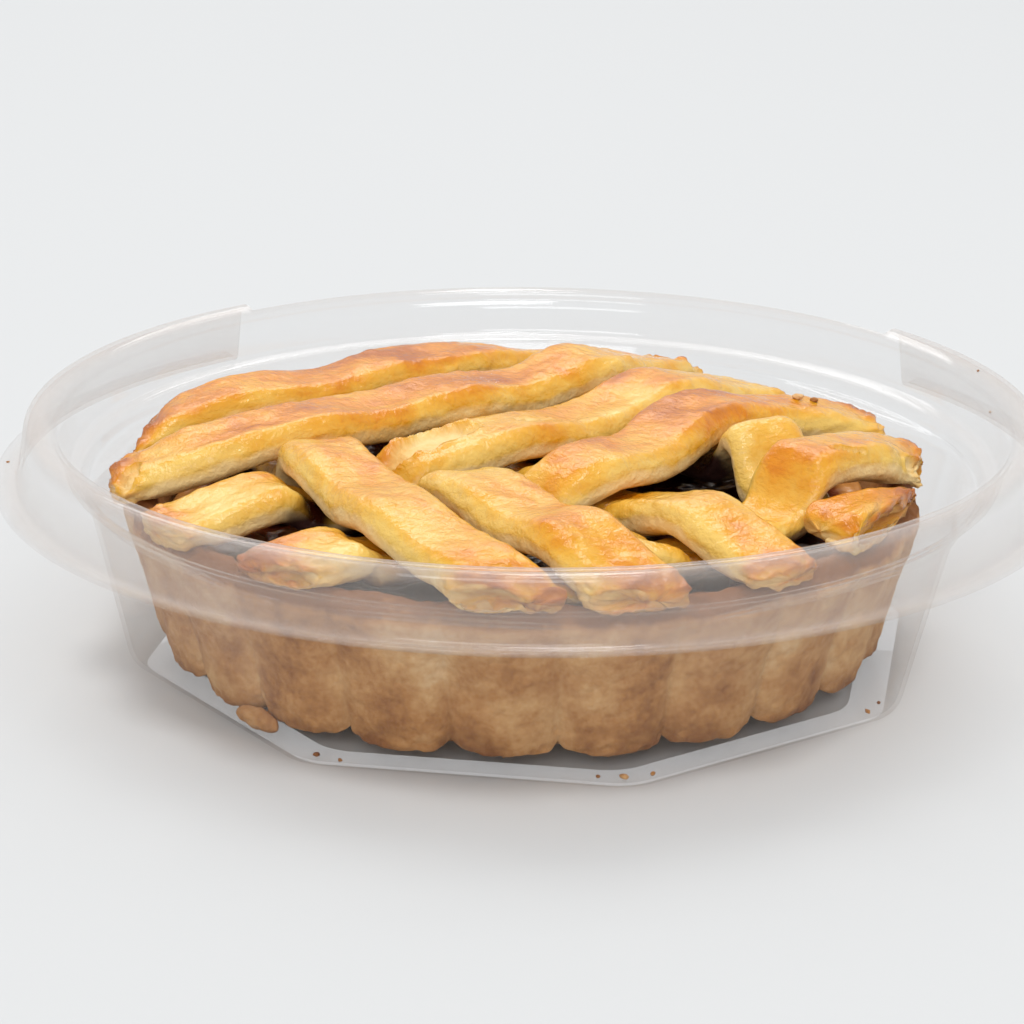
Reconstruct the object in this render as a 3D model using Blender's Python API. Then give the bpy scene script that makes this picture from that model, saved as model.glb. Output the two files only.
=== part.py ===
# Small apple pie with a lattice top, standing in its clear round tub
# Lengths are in metres, +Z is up, and the tub stands on z = 0

import math

import bmesh
import bpy
import numpy as np
from mathutils import Vector, noise

MM = 0.001

# Tub: an eight-sided lower body under a round stepped rim. Radii are of the middle of the wall,
# and on the eight-sided rows they run to the middle of a side.
TUB_WALL = 0.6 * MM
PANEL_RADIUS = 48.6 * MM
PANEL_RISE = 1.6 * MM
FOOT_INNER = 49.8 * MM
FOOT_OUTER = 56.4 * MM
WALL_FOOT = 57.7 * MM
WALL_FOOT_Z = 1.6 * MM
WALL_TOP = 63.9 * MM
WALL_TOP_Z = 25.6 * MM
LEDGE_RADIUS = 67.3 * MM
LEDGE_Z = 26.6 * MM
STEP_RADIUS = 70.2 * MM
STEP_Z = 29.4 * MM
NECK_RADIUS = 71.0 * MM
NECK_Z = 34.0 * MM
LIP_RADIUS = 72.0 * MM
LIP_Z = 36.0 * MM
BEAD_RADIUS = 76.4 * MM
BEAD_TOP_Z = 37.6 * MM
SKIRT_RADIUS = 77.5 * MM
SKIRT_Z = 27.3 * MM
FLANGE_RADIUS = 81.1 * MM
FLANGE_Z = 27.9 * MM
FOOT_CORNER = 8.0 * MM
WALL_CORNER = 26.0 * MM
TUB_SIDES = 8
TUB_CORNER_TURN = math.radians(13)
# The bead and flange are missing at the back between these two turns from the front
CUT_FROM = math.radians(127.5)
CUT_TO = math.radians(220)
CUT_RADIUS = 72.7 * MM

# The box of the whole tub is centred on the origin, so the tub's own axis sits behind it
BACK_REACH = CUT_RADIUS
AXIS_Y = (FLANGE_RADIUS + TUB_WALL / 2 - BACK_REACH) / 2

# Pie: a fluted crust that flares towards its rim
PIE_SHIFT = (-1.7 * MM, -1.2 * MM)
PIE_BASE_Z = 2.5 * MM
FLUTES = 22
FLUTE_TURN = math.radians(-2.6)
FLUTE_DEPTH = 2.6 * MM
BASE_FLAT = 46.0 * MM
BASE_RADIUS = 54.5 * MM
BASE_ARCH = 2.6 * MM
MID_RADIUS = 57.3 * MM
MID_Z = 13.0 * MM
RIM_RADIUS = 60.5 * MM
RIM_SHOULDER_Z = 23.4 * MM
RIM_TOP_RADIUS = 57.6 * MM
RIM_TOP_Z = 25.4 * MM
RIM_INNER = 55.0 * MM
CUP_RADIUS = 51.0 * MM
CUP_Z = 7.0 * MM
TOUCH_GAP = 0.35 * MM

# Filling
FILLING_Z = 22.2 * MM
FILLING_LUMP = 1.2 * MM

# Lattice: six long strips along one diagonal and four cross strips over and under them
LATTICE_TURN = math.radians(40)
STRIP_WIDTH = 13.2 * MM
STRIP_THICK = 6.6 * MM
STRIP_SAG_Z = 24.1 * MM
LEAST_THICK = 3.2 * MM
END_TAPER = 9.0 * MM
END_SHARE = 0.7
STRIP_REACH = 62.0 * MM
# Strips whose cut left and right ends stop shorter or run on further than the others
OWN_REACH = {
    "strip_long_1": (59.6 * MM, 59.6 * MM),
    "strip_long_2": (63.0 * MM, 62.0 * MM),
    "strip_long_3": (62.0 * MM, 60.2 * MM),
    "strip_long_4": (60.9 * MM, 60.9 * MM),
    "strip_long_5": (62.0 * MM, 61.3 * MM),
    "strip_long_6": (60.0 * MM, 59.6 * MM),
}
TRIM_FROM = 57.0 * MM
TRIM_RUN = 13.0 * MM
LAY_GAP = 0.5 * MM
LAY_SLOPE = 1.7
STATION_STEP = 3.8 * MM
STRIP_SIDES = 10
BELLY = 0.42
SIDE_BLUNT = 0.72
TOP_BLUNT = 0.8
KEEL_BLUNT = 0.8

# Loose piece of crust in the tub's corner: length, width, height and its place
FLAKE_SIZE = (8.4 * MM, 2.0 * MM, 3.2 * MM)
FLAKE_RADIUS = 56.9 * MM
FLAKE_TURN = math.radians(-43.5)

# Each strip: width factor, then places that its crest passes, as millimetres along the lattice,
# across it and above the table, counted from the pie's middle
LONG_STRIPS = {
    "strip_long_1": (0.98, (
        (-37, 44.5, 30.2), (-33, 44.5, 33.2), (-27, 44, 35.2), (-20, 43, 35.9), (-6, 41.5, 34.8),
        (4, 41, 35.8), (14, 41, 35.4), (25, 41.5, 34), (34, 42.5, 32), (42, 43.5, 30),
    )),
    "strip_long_2": (1.06, (
        (-55.2, 30.3, 30.6), (-50, 28.3, 32.5), (-42, 25, 35.2), (-27, 21.8, 37.3), (-14, 21.2, 36.4),
        (4, 20.5, 37), (15, 20.5, 35.2), (30, 20.5, 37), (43, 23.5, 33.5), (55, 27, 29),
    )),
    "strip_long_3": (1.04, (
        (-59, 9, 30.3), (-53, 8, 31.4), (-48, 7.2, 32.8), (-43, 6.4, 33.8), (-39, 5.2, 32.6),
        (-34, 3.4, 30.5), (-26, 2.2, 34), (-20, 1.6, 35), (-13, 1, 35.2), (-1, 0.2, 36.5),
        (10, 0.8, 34.7), (20, 2.2, 35.2), (31, 3.8, 36.8), (44, 4.6, 33.4), (56.5, 5.4, 29.6),
    )),
    "strip_long_4": (1.02, (
        (-58.5, -15, 29.6), (-51, -17, 32.2), (-45, -17.5, 32.4), (-39, -18, 30.3), (-25, -19.5, 30),
        (-15, -19.8, 33), (-5, -20, 36.7), (8, -17.6, 35.6), (20, -13, 37), (30, -11.6, 37),
        (40, -13, 34.6), (48, -15.5, 32.8), (55.5, -17.5, 29.8),
    )),
    "strip_long_5": (0.98, (
        (-32.5, -41, 29), (-25, -41, 29.5), (-14, -41, 31.4), (-9, -41, 30), (3, -40.5, 33.5),
        (11, -39.5, 36), (19, -38.6, 36.8), (28, -38, 36.5), (39, -37.5, 34.2), (47, -40, 31),
    )),
    "strip_long_6": (0.9, (
        (12.3, -51, 31), (19.5, -52, 32.2), (28, -51.6, 29.8),
    )),
}
CROSS_STRIPS = {
    "strip_cross_1": (1.0, (
        (-17, 57, 29), (-19.5, 42, 29.5), (-22, 32, 31), (-25.5, 21.5, 29.3), (-28.3, 14, 35),
        (-31, 9, 36.6), (-33.5, 2, 37), (-36, -8, 35.5), (-38, -18, 36.7), (-39.5, -30, 34.5),
        (-40, -40, 34), (-40.5, -48, 30.5),
    )),
    "strip_cross_2": (1.06, (
        (-19.8, -8.8, 34), (-22, -17, 36.6), (-23.8, -30, 35), (-24.6, -42, 36), (-25.2, -55.5, 30),
    )),
    "strip_cross_3": (0.98, (
        (13, 59, 29), (10, 42, 29.5), (7, 31, 31.5), (4, 21, 29.5), (1, 10, 32),
        (-1, 0, 29.5), (-1.2, -10, 32), (-1.5, -20, 29.6), (-1.4, -31.5, 32.6), (-1.8, -41, 35),
        (-2.4, -50, 32.6), (-3, -59, 29.6),
    )),
    "strip_cross_4": (0.98, (
        (28.2, 34, 29.6), (28, 31, 30.5), (28.5, 21, 29.5), (29, 11, 32), (29, 3, 29.5),
        (28.2, -6, 32), (28, -12.5, 31), (27.4, -20.5, 37), (26, -26, 36.6), (24, -31.5, 34),
        (22.8, -37.5, 30),
    )),
}
# Order from the strip under all the others up to the one over them
LAYING_ORDER = (
    "strip_cross_4",
    "strip_long_5",
    "strip_cross_3",
    "strip_long_6",
    "strip_long_4",
    "strip_cross_2",
    "strip_long_3",
    "strip_cross_1",
    "strip_long_2",
    "strip_long_1",
)


def clear_scene():
    for item in list(bpy.data.objects):
        bpy.data.objects.remove(item, do_unlink=True)


def make_material(name, color, roughness, alpha=1.0, transmission=0.0):
    material = bpy.data.materials.new(name)
    material.use_nodes = True
    shader = material.node_tree.nodes["Principled BSDF"]
    shader.inputs["Base Color"].default_value = (*color, 1.0)
    shader.inputs["Roughness"].default_value = roughness
    shader.inputs["Metallic"].default_value = 0.0
    shader.inputs["Alpha"].default_value = alpha
    shader.inputs["Transmission Weight"].default_value = transmission
    material.diffuse_color = (*color, alpha)
    return material


def clear_plastic():
    return make_material("clear_plastic", (0.93, 0.94, 0.94), 0.08, alpha=0.3, transmission=1.0)


def baked_crust():
    return make_material("baked_crust", (0.56, 0.31, 0.12), 0.75)


def glazed_pastry():
    return make_material("glazed_pastry", (0.72, 0.40, 0.12), 0.35)


def dark_filling():
    return make_material("dark_filling", (0.16, 0.035, 0.012), 0.25)


def add_object(name, mesh_builder, material, smooth_angle=40):
    mesh = bpy.data.meshes.new(name)
    mesh_builder.to_mesh(mesh)
    mesh_builder.free()
    mesh.materials.append(material)
    mesh.shade_smooth()
    mesh.set_sharp_from_angle(angle=math.radians(smooth_angle))
    item = bpy.data.objects.new(name, mesh)
    bpy.context.scene.collection.objects.link(item)
    return item


def skin_rings(rings, start_pole, end_pole):
    """Closed body through rings of equal length, with a point closing each end."""
    builder = bmesh.new()
    rows = [[builder.verts.new(point) for point in ring] for ring in rings]
    count = len(rows[0])
    for low, high in zip(rows, rows[1:]):
        for i in range(count):
            k = (i + 1) % count
            builder.faces.new((low[i], low[k], high[k], high[i]))
    for pole, row in ((start_pole, rows[0]), (end_pole, rows[-1])):
        tip = builder.verts.new(pole)
        for i in range(count):
            builder.faces.new((tip, row[(i + 1) % count], row[i]))
    bmesh.ops.triangulate(builder, faces=builder.faces[:])
    bmesh.ops.recalc_face_normals(builder, faces=builder.faces[:])
    return builder


def turned_point(radius, turn, z, center):
    """Point at a turn measured from the front, towards +X."""
    return Vector((center[0] + radius * math.sin(turn), center[1] - radius * math.cos(turn), z))


def eight_sided_radius(apothem, corner, turn):
    """Distance from the axis to an eight-sided outline with rounded corners."""
    half_side = math.pi / TUB_SIDES
    offset = (turn - TUB_CORNER_TURN) % (2 * half_side) - half_side
    straight = (apothem - corner) * math.tan(half_side)
    if apothem * abs(math.tan(offset)) <= straight:
        return apothem / math.cos(offset)
    center = (apothem - corner) / math.cos(half_side)
    away = half_side - abs(offset)
    return center * math.cos(away) + math.sqrt(corner ** 2 - (center * math.sin(away)) ** 2)


def tub_turns():
    """Turns of the tub's columns, closer together at the eight corners."""
    side = 2 * math.pi / TUB_SIDES
    steps = [math.radians(angle) for angle in (0, 2.2, 6.5, 14.5, 22.5, 30.5, 38.5, 42.8)]
    return [TUB_CORNER_TURN + k * side + step for k in range(TUB_SIDES) for step in steps]


def tub_profile():
    """Middle line of the tub's wall, from the floor panel out to the flange's edge."""
    half = TUB_WALL / 2
    eight, round_row = 1.0, 0.0
    bead_in = LIP_RADIUS + 1.2 * MM
    bead_crest = (LIP_RADIUS + BEAD_RADIUS) / 2 + 0.6 * MM
    return [
        (PANEL_RADIUS, PANEL_RISE + half, eight),
        (FOOT_INNER, half, eight),
        (FOOT_OUTER, half, eight),
        (WALL_FOOT, WALL_FOOT_Z, eight),
        (WALL_TOP, WALL_TOP_Z, eight),
        (WALL_TOP + 0.7 * MM, LEDGE_Z - 0.2 * MM, eight),
        (LEDGE_RADIUS, LEDGE_Z, round_row),
        (LEDGE_RADIUS + 0.7 * MM, STEP_Z - 0.6 * MM, round_row),
        (STEP_RADIUS, STEP_Z, round_row),
        (NECK_RADIUS, NECK_Z, round_row),
        (LIP_RADIUS - 0.1 * MM, NECK_Z + 0.8 * MM, round_row),
        (LIP_RADIUS, LIP_Z, round_row),
        (bead_in, BEAD_TOP_Z - 0.7 * MM, round_row),
        (bead_crest, BEAD_TOP_Z - half, round_row),
        (BEAD_RADIUS - 0.3 * MM, BEAD_TOP_Z - 1.0 * MM, round_row),
        (BEAD_RADIUS, BEAD_TOP_Z - 2.6 * MM, round_row),
        (SKIRT_RADIUS, SKIRT_Z + 0.5 * MM, round_row),
        (SKIRT_RADIUS + 0.8 * MM, SKIRT_Z, round_row),
        (FLANGE_RADIUS, FLANGE_Z, round_row),
    ]


def offset_profile(points, distance):
    """The middle line moved sideways, with mitred bends."""
    moved = []
    last = len(points) - 1
    for i, (radius, z, _) in enumerate(points):
        before = points[max(i - 1, 0)]
        after = points[min(i + 1, last)]
        into = Vector((radius - before[0], z - before[1])) if i > 0 else Vector((1, 0))
        out = Vector((after[0] - radius, after[1] - z)) if i < last else into
        into.normalize()
        out.normalize()
        side = (Vector((into.y, -into.x)) + Vector((out.y, -out.x))).normalized()
        stretch = distance / max(side.dot(Vector((into.y, -into.x))), 0.5)
        moved.append((radius + side.x * stretch, z + side.y * stretch))
    return moved


def tub_ring(radius, z, weight, turns):
    corner = FOOT_CORNER + (WALL_CORNER - FOOT_CORNER) * min(max(z / WALL_TOP_Z, 0), 1)
    ring = []
    for turn in turns:
        reach = eight_sided_radius(radius, corner, turn) if weight else radius
        ring.append(turned_point(reach, turn, z, (0, AXIS_Y)))
    return ring


def cut_sector():
    """Block that takes the bead and flange away at the back."""
    steps = 14
    builder = bmesh.new()
    turns = [CUT_FROM + (CUT_TO - CUT_FROM) * i / steps for i in range(steps + 1)]
    columns = []
    for turn in turns:
        past = FLANGE_RADIUS + 5 * MM
        corners = ((CUT_RADIUS, 20), (past, 20), (past, 45), (CUT_RADIUS, 45))
        columns.append([builder.verts.new(turned_point(r, turn, z * MM, (0, AXIS_Y))) for r, z in corners])
    for first, second in zip(columns, columns[1:]):
        for i in range(4):
            k = (i + 1) % 4
            builder.faces.new((first[i], first[k], second[k], second[i]))
    builder.faces.new(columns[0][::-1])
    builder.faces.new(columns[-1])
    bmesh.ops.recalc_face_normals(builder, faces=builder.faces[:])
    return builder


def build_tub(material):
    points = tub_profile()
    turns = tub_turns()
    outside = offset_profile(points, TUB_WALL / 2)
    inside = offset_profile(points, -TUB_WALL / 2)
    weights = [point[2] for point in points]
    rings = [tub_ring(r, z, w, turns) for (r, z), w in zip(outside, weights)]
    rings += [tub_ring(r, z, w, turns) for (r, z), w in zip(inside[::-1], weights[::-1])]
    underside = Vector((0, AXIS_Y, PANEL_RISE))
    floor = Vector((0, AXIS_Y, PANEL_RISE + TUB_WALL))
    tub = add_object("tub", skin_rings(rings, underside, floor), material)
    cutter = add_object("tub_cutter", cut_sector(), material)
    cutter.hide_render = True
    cutter.display_type = "WIRE"
    trim = tub.modifiers.new("back_cut", "BOOLEAN")
    trim.operation = "DIFFERENCE"
    trim.solver = "EXACT"
    trim.object = cutter
    return tub


def pie_center():
    return (PIE_SHIFT[0], AXIS_Y + PIE_SHIFT[1])


def flute_wave(turn):
    """0 in the grooves and 1 on the rounded ribs of the crust's side."""
    across = 2 * (((turn - FLUTE_TURN) * FLUTES / (2 * math.pi) + 0.5) % 1.0) - 1
    return math.sqrt(max(1 - across ** 2, 0))


def rough(point, size, amount, seed):
    """Seeded unevenness of a baked surface."""
    return amount * noise.noise(Vector(point) / size + Vector((seed, seed * 1.7, seed * 0.6)))


def crust_profile():
    """Crust outline: radius, height and how far the flutes count, from the base to the cup's floor."""
    return [
        (BASE_FLAT, PIE_BASE_Z, 0.0),
        (BASE_RADIUS, PIE_BASE_Z + 0.3 * MM, 1.0),
        ((BASE_RADIUS + MID_RADIUS) / 2, (PIE_BASE_Z + MID_Z) / 2 - 1 * MM, 1.15),
        (MID_RADIUS, MID_Z, 1.0),
        ((MID_RADIUS + RIM_RADIUS) / 2 + 0.2 * MM, (MID_Z + RIM_SHOULDER_Z) / 2 + 0.5 * MM, 0.85),
        (RIM_RADIUS, RIM_SHOULDER_Z, 0.5),
        (RIM_RADIUS - 0.9 * MM, RIM_TOP_Z - 0.9 * MM, 0.3),
        (RIM_TOP_RADIUS, RIM_TOP_Z - 0.35 * MM, 0.0),
        (RIM_INNER, RIM_TOP_Z - 1.3 * MM, 0.0),
        (CUP_RADIUS + 2.6 * MM, (CUP_Z + RIM_TOP_Z) / 2, 0.0),
        (CUP_RADIUS, CUP_Z, 0.0),
    ]


def build_crust(material):
    per_flute = 5
    count = FLUTES * per_flute
    turns = [FLUTE_TURN + 2 * math.pi * (i / count - 0.5 / FLUTES) for i in range(count)]
    rings = []
    for row, (radius, z, fluted) in enumerate(crust_profile()):
        ring = []
        for turn in turns:
            wave = flute_wave(turn)
            reach = radius - FLUTE_DEPTH * fluted * (1 - wave)
            height = z
            point = turned_point(reach, turn, z, pie_center())
            if row == 1:
                height += BASE_ARCH * (1 - wave) ** 1.5
            if 1 < row < 8:
                reach += rough(point, 7 * MM, 0.35 * MM, 3) - 0.1 * MM
            if row in (6, 7):
                height += rough(point, 5 * MM, 0.5 * MM, 9)
            ring.append(turned_point(reach, turn, height, pie_center()))
        rings.append(ring)
    base = Vector((*pie_center(), PIE_BASE_Z))
    cup = Vector((*pie_center(), CUP_Z))
    return add_object("crust", skin_rings(rings, base, cup), material)


def filling_top(x, y):
    """Lumpy top of the apple filling."""
    lump = rough((x, y, 0), 9 * MM, FILLING_LUMP, 21) + rough((x, y, 0), 4.5 * MM, FILLING_LUMP * 0.5, 33)
    return min(FILLING_Z + lump, STRIP_SAG_Z - LAY_GAP)


def build_filling(material):
    count = 44
    turns = [2 * math.pi * i / count for i in range(count)]
    wall = CUP_RADIUS + 2.6 * MM
    wall_z = (CUP_Z + RIM_TOP_Z) / 2
    rings = []
    low, middle, high = CUP_RADIUS - 0.9 * MM, wall - 0.7 * MM, wall + 0.1 * MM
    for radius, z in ((low, CUP_Z + TOUCH_GAP), (middle, wall_z), (high, 21 * MM)):
        rings.append([turned_point(radius, turn, z, pie_center()) for turn in turns])
    for radius in (50, 42, 34, 26, 18, 9):
        ring = []
        for turn in turns:
            point = turned_point(radius * MM, turn, 0, pie_center())
            point.z = filling_top(point.x, point.y)
            ring.append(point)
        rings.append(ring)
    center = pie_center()
    low = Vector((*center, CUP_Z + TOUCH_GAP))
    high = Vector((*center, filling_top(*center)))
    return add_object("filling", skin_rings(rings, low, high), material, smooth_angle=60)


def smooth_path(points, step):
    """Evenly spaced points on a smooth curve through the given places."""
    places = np.array(points, float) * MM
    padded = np.vstack([2 * places[0] - places[1], places, 2 * places[-1] - places[-2]])
    fine = []
    for p0, p1, p2, p3 in zip(padded, padded[1:], padded[2:], padded[3:]):
        for t in np.linspace(0, 1, 24, endpoint=False):
            bend = 2 * p1 + (p2 - p0) * t + (2 * p0 - 5 * p1 + 4 * p2 - p3) * t ** 2
            fine.append(0.5 * (bend + (3 * p1 - p0 - 3 * p2 + p3) * t ** 3))
    fine = np.array(fine + [places[-1]])
    run = np.concatenate([[0], np.cumsum(np.linalg.norm(np.diff(fine[:, :2], axis=0), axis=1))])
    count = max(int(round(run[-1] / step)), 2)
    even = np.linspace(0, run[-1], count + 1)
    return np.column_stack([np.interp(even, run, fine[:, i]) for i in range(3)])


def to_world(path):
    """Lattice places turned into the tub's frame."""
    center = pie_center()
    cos, sin = math.cos(LATTICE_TURN), math.sin(LATTICE_TURN)
    x = center[0] + path[:, 0] * cos - path[:, 1] * sin
    y = center[1] + path[:, 0] * sin + path[:, 1] * cos
    return np.column_stack([x, y])


def arc(ratio):
    """Roundness of a strip's section at a share of its half width, 1 in the middle and 0 at the side."""
    edge = np.clip(np.abs(ratio), 0, 1) ** (1 / SIDE_BLUNT)
    return np.sqrt(1 - edge ** 2)


def section_top(ratio):
    """Share of the thickness that a strip's top reaches at a share of its half width."""
    return BELLY + (1 - BELLY) * arc(ratio) ** TOP_BLUNT


def section_keel(ratio):
    """Share of the thickness that a strip's underside lies at for a share of its half width."""
    return BELLY * (1 - arc(ratio) ** KEEL_BLUNT)


def strip_underside(strip, places):
    """Height of a placed strip's underside over each place, or far above where it isn't there."""
    line = strip["path"]
    start, run = line[:-1], np.diff(line, axis=0)
    away = places[:, None, :] - start[None, :, :]
    share = np.clip((away * run).sum(2) / (run ** 2).sum(1), 0, 1)
    gap = np.linalg.norm(away - share[..., None] * run, axis=2)
    nearest = gap.argmin(1)
    rows = np.arange(len(places))
    share = share[rows, nearest]
    ratio = gap[rows, nearest] / strip["half"]
    keel = strip["keel"][nearest] * (1 - share) + strip["keel"][nearest + 1] * share
    thick = strip["thick"][nearest] * (1 - share) + strip["thick"][nearest + 1] * share
    return np.where(ratio < 1.06, keel + thick * section_keel(ratio), 1.0)


def support_height(places):
    """Height that the filling and the crust's rim offer to a strip."""
    radius = np.linalg.norm(places - np.array(pie_center()), axis=1)
    drop = 0.16 / MM * np.clip(radius - RIM_TOP_RADIUS, 0, None) ** 2
    rise = np.clip((radius - RIM_INNER + 2 * MM) / (2 * MM), 0, 1)
    low = STRIP_SAG_Z - LAY_GAP
    return low + rise * (RIM_TOP_Z + TOUCH_GAP - drop - low)


def press_under(crest, limit, along):
    """A crest line pressed below a limit, with slopes that dough can take."""
    apart = np.abs(along[:, None] - along[None, :])
    pressed = np.minimum(crest, (limit[None, :] + LAY_SLOPE * apart).min(1))
    for _ in range(4):
        padded = np.concatenate([pressed[:1], pressed, pressed[-1:]])
        pressed = np.minimum((padded[:-2] + padded[1:-1] * 2 + padded[2:]) / 4, limit)
    return pressed


def place_strips():
    """All strips from the top one down, each pressed below those already placed."""
    placed = []
    for number, name in enumerate(reversed(LAYING_ORDER)):
        factor, points = {**LONG_STRIPS, **CROSS_STRIPS}[name]
        line = smooth_path(points, 1.0 * MM)
        path = to_world(line)
        half = STRIP_WIDTH * factor / 2
        run = np.gradient(path, axis=0)
        normal = np.column_stack([-run[:, 1], run[:, 0]]) / np.linalg.norm(run, axis=1)[:, None]
        along = np.arange(len(path)) * np.linalg.norm(run, axis=1).mean()
        limit = np.full(len(path), 1.0)
        lowest = np.zeros(len(path))
        for ratio in np.linspace(-1, 1, 13):
            places = path + normal * half * ratio
            for strip in placed:
                ceiling = strip_underside(strip, places) - LAY_GAP
                limit = np.minimum(limit, ceiling + LEAST_THICK * (1 - section_top(ratio)))
            floor = support_height(places) + LAY_GAP
            lowest = np.maximum(lowest, floor - LEAST_THICK * section_keel(ratio))
        crest = press_under(line[:, 2], limit, along)
        wave = np.array([noise.noise(Vector((x, y, number * MM)) / (16 * MM)) for x, y in path])
        from_end = np.clip(np.minimum(along, along[-1] - along) / END_TAPER, 0, 1)
        thick = STRIP_THICK * (1 + 0.08 * wave) * (END_SHARE + (1 - END_SHARE) * from_end)
        thick = np.minimum(thick, crest - lowest)
        thick = np.maximum(thick, LEAST_THICK)
        placed.append({"name": name, "path": path, "keel": crest - thick, "half": half, "thick": thick})
    return placed


def strip_section(half, thick, scale):
    """Outline of a puffed dough strip, from its right side over the top."""
    outline = []
    for i in range(STRIP_SIDES):
        angle = 2 * math.pi * (i + 0.5) / STRIP_SIDES
        cos, sin = math.cos(angle), math.sin(angle)
        side = math.copysign(abs(cos) ** SIDE_BLUNT, cos) * half * scale
        if sin > 0:
            height = thick * (BELLY + (1 - BELLY) * sin ** TOP_BLUNT * scale)
        else:
            height = thick * BELLY * (1 - abs(sin) ** KEEL_BLUNT * scale)
        outline.append((side, height))
    return outline


def trim_shift(strip, index, side):
    """How far a strip's point moves so that an end over the rim is cut along the rim's round."""
    path = strip["path"]
    last = len(path) - 1
    end, inner = (0, 1) if index < last / 2 else (last, last - 1)
    away = abs(index - end) * MM
    from_center = Vector(path[end]) - Vector(pie_center())
    if from_center.length < TRIM_FROM or away > TRIM_RUN:
        return Vector((0, 0))
    heading = (Vector(path[end]) - Vector(path[inner])).normalized()
    right = Vector((heading.y, -heading.x)) * (side if end else -side)
    corner = from_center + right
    along = corner.dot(heading)
    reach = OWN_REACH.get(strip["name"], (STRIP_REACH, STRIP_REACH))[1 if end else 0]
    run = math.sqrt(along ** 2 + reach ** 2 - corner.length_squared) - along
    return heading * run * (1 - away / TRIM_RUN)


def build_strip(strip, material):
    """One lattice strip, with blunt ends."""
    path = strip["path"]
    last = len(path) - 1
    stations = np.unique(np.linspace(1, last - 1, max(int(round(last * MM / STATION_STEP)), 3)).astype(int))
    run = np.gradient(path, axis=0)
    run /= np.linalg.norm(run, axis=1)[:, None]
    rings = []
    for index, scale in [(0, 0.8)] + [(k, 1.0) for k in stations] + [(last, 0.8)]:
        right = np.array([run[index, 1], -run[index, 0]])
        ring = []
        for side, height in strip_section(strip["half"], strip["thick"][index], scale):
            x, y = path[index] + right * side
            moved = Vector((x, y)) + trim_shift(strip, index, side)
            ring.append(Vector((*moved, strip["keel"][index] + height)))
        rings.append(ring)
    middles = [sum(ring, Vector()) / len(ring) for ring in (rings[0], rings[-1])]
    return add_object(strip["name"], skin_rings(rings, *middles), material)


def build_flake(material):
    """Loose scrap of crust lying in the tub's corner."""
    builder = bmesh.new()
    bmesh.ops.create_icosphere(builder, subdivisions=2, radius=0.5)
    heading = FLAKE_TURN
    floor = TUB_WALL + TOUCH_GAP
    middle = turned_point(FLAKE_RADIUS, FLAKE_TURN, floor + FLAKE_SIZE[2] / 2, (0, AXIS_Y))
    for vert in builder.verts:
        swell = 1 + 0.15 * noise.noise(vert.co * 3.1 + Vector((4, 7, 1)))
        length, width, height = (c * s * swell for c, s in zip(vert.co, FLAKE_SIZE))
        x = length * math.cos(heading) - width * -math.sin(heading)
        y = length * math.sin(heading) + width * -math.cos(heading)
        vert.co = middle + Vector((x, y, max(height, -FLAKE_SIZE[2] / 2)))
    bmesh.ops.recalc_face_normals(builder, faces=builder.faces[:])
    return add_object("crust_scrap", builder, material, smooth_angle=80)


def build_pie():
    crust = baked_crust()
    pastry = glazed_pastry()
    build_crust(crust)
    build_filling(dark_filling())
    for strip in place_strips():
        build_strip(strip, pastry)
    build_flake(crust)


clear_scene()
build_tub(clear_plastic())
build_pie()
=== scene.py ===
import math

import bmesh
import bpy
import numpy as np
from mathutils import Matrix, Vector


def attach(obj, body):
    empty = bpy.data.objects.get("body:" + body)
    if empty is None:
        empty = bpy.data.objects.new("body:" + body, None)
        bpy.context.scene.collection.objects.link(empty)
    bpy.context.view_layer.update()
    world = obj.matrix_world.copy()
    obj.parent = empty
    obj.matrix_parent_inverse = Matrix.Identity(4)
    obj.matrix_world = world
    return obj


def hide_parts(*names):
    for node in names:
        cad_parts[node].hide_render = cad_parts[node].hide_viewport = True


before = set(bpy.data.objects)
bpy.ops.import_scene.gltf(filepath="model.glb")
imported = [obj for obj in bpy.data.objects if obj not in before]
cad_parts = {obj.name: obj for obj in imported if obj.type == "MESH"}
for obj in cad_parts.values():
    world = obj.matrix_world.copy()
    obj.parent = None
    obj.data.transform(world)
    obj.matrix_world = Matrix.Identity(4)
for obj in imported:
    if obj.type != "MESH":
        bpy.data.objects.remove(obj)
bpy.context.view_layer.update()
mm = 0.001


# small helpers

def linearColor(hexValue):
    # sRGB hex to the linear values that a shader takes
    channels = [int(hexValue[i:i + 2], 16) / 255 for i in (1, 3, 5)]
    return [c / 12.92 if c <= 0.04045 else ((c + 0.055) / 1.055) ** 2.4 for c in channels] + [1.0]


def addNode(tree, kind, links=None, stops=(), **settings):
    # links holds a value or another node's socket for each input, stops the places and colours of a ramp
    node = tree.nodes.new("ShaderNode" + kind)
    for name, value in settings.items():
        setattr(node, name, value)
    for socket, value in (links or {}).items():
        target = node.inputs[socket]
        if isinstance(value, bpy.types.NodeSocket):
            tree.links.new(value, target)
        else:
            target.default_value = value
    if stops:
        elements = node.color_ramp.elements
        while len(elements) < len(stops):
            elements.new(0.5)
        for element, (place, color) in zip(elements, stops):
            element.position = place
            element.color = linearColor(color)
    return node


def newMaterial(name):
    material = bpy.data.materials.new(name)
    material.use_nodes = True
    tree = material.node_tree
    tree.nodes.clear()
    output = addNode(tree, "OutputMaterial")
    return material, tree, output


def smoothStep(low, high, value):
    # 0 at low and 1 at high with an eased way between, low may be the larger one
    t = np.clip((value - low) / (high - low), 0, 1)
    return t * t * (3 - 2 * t)


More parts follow.
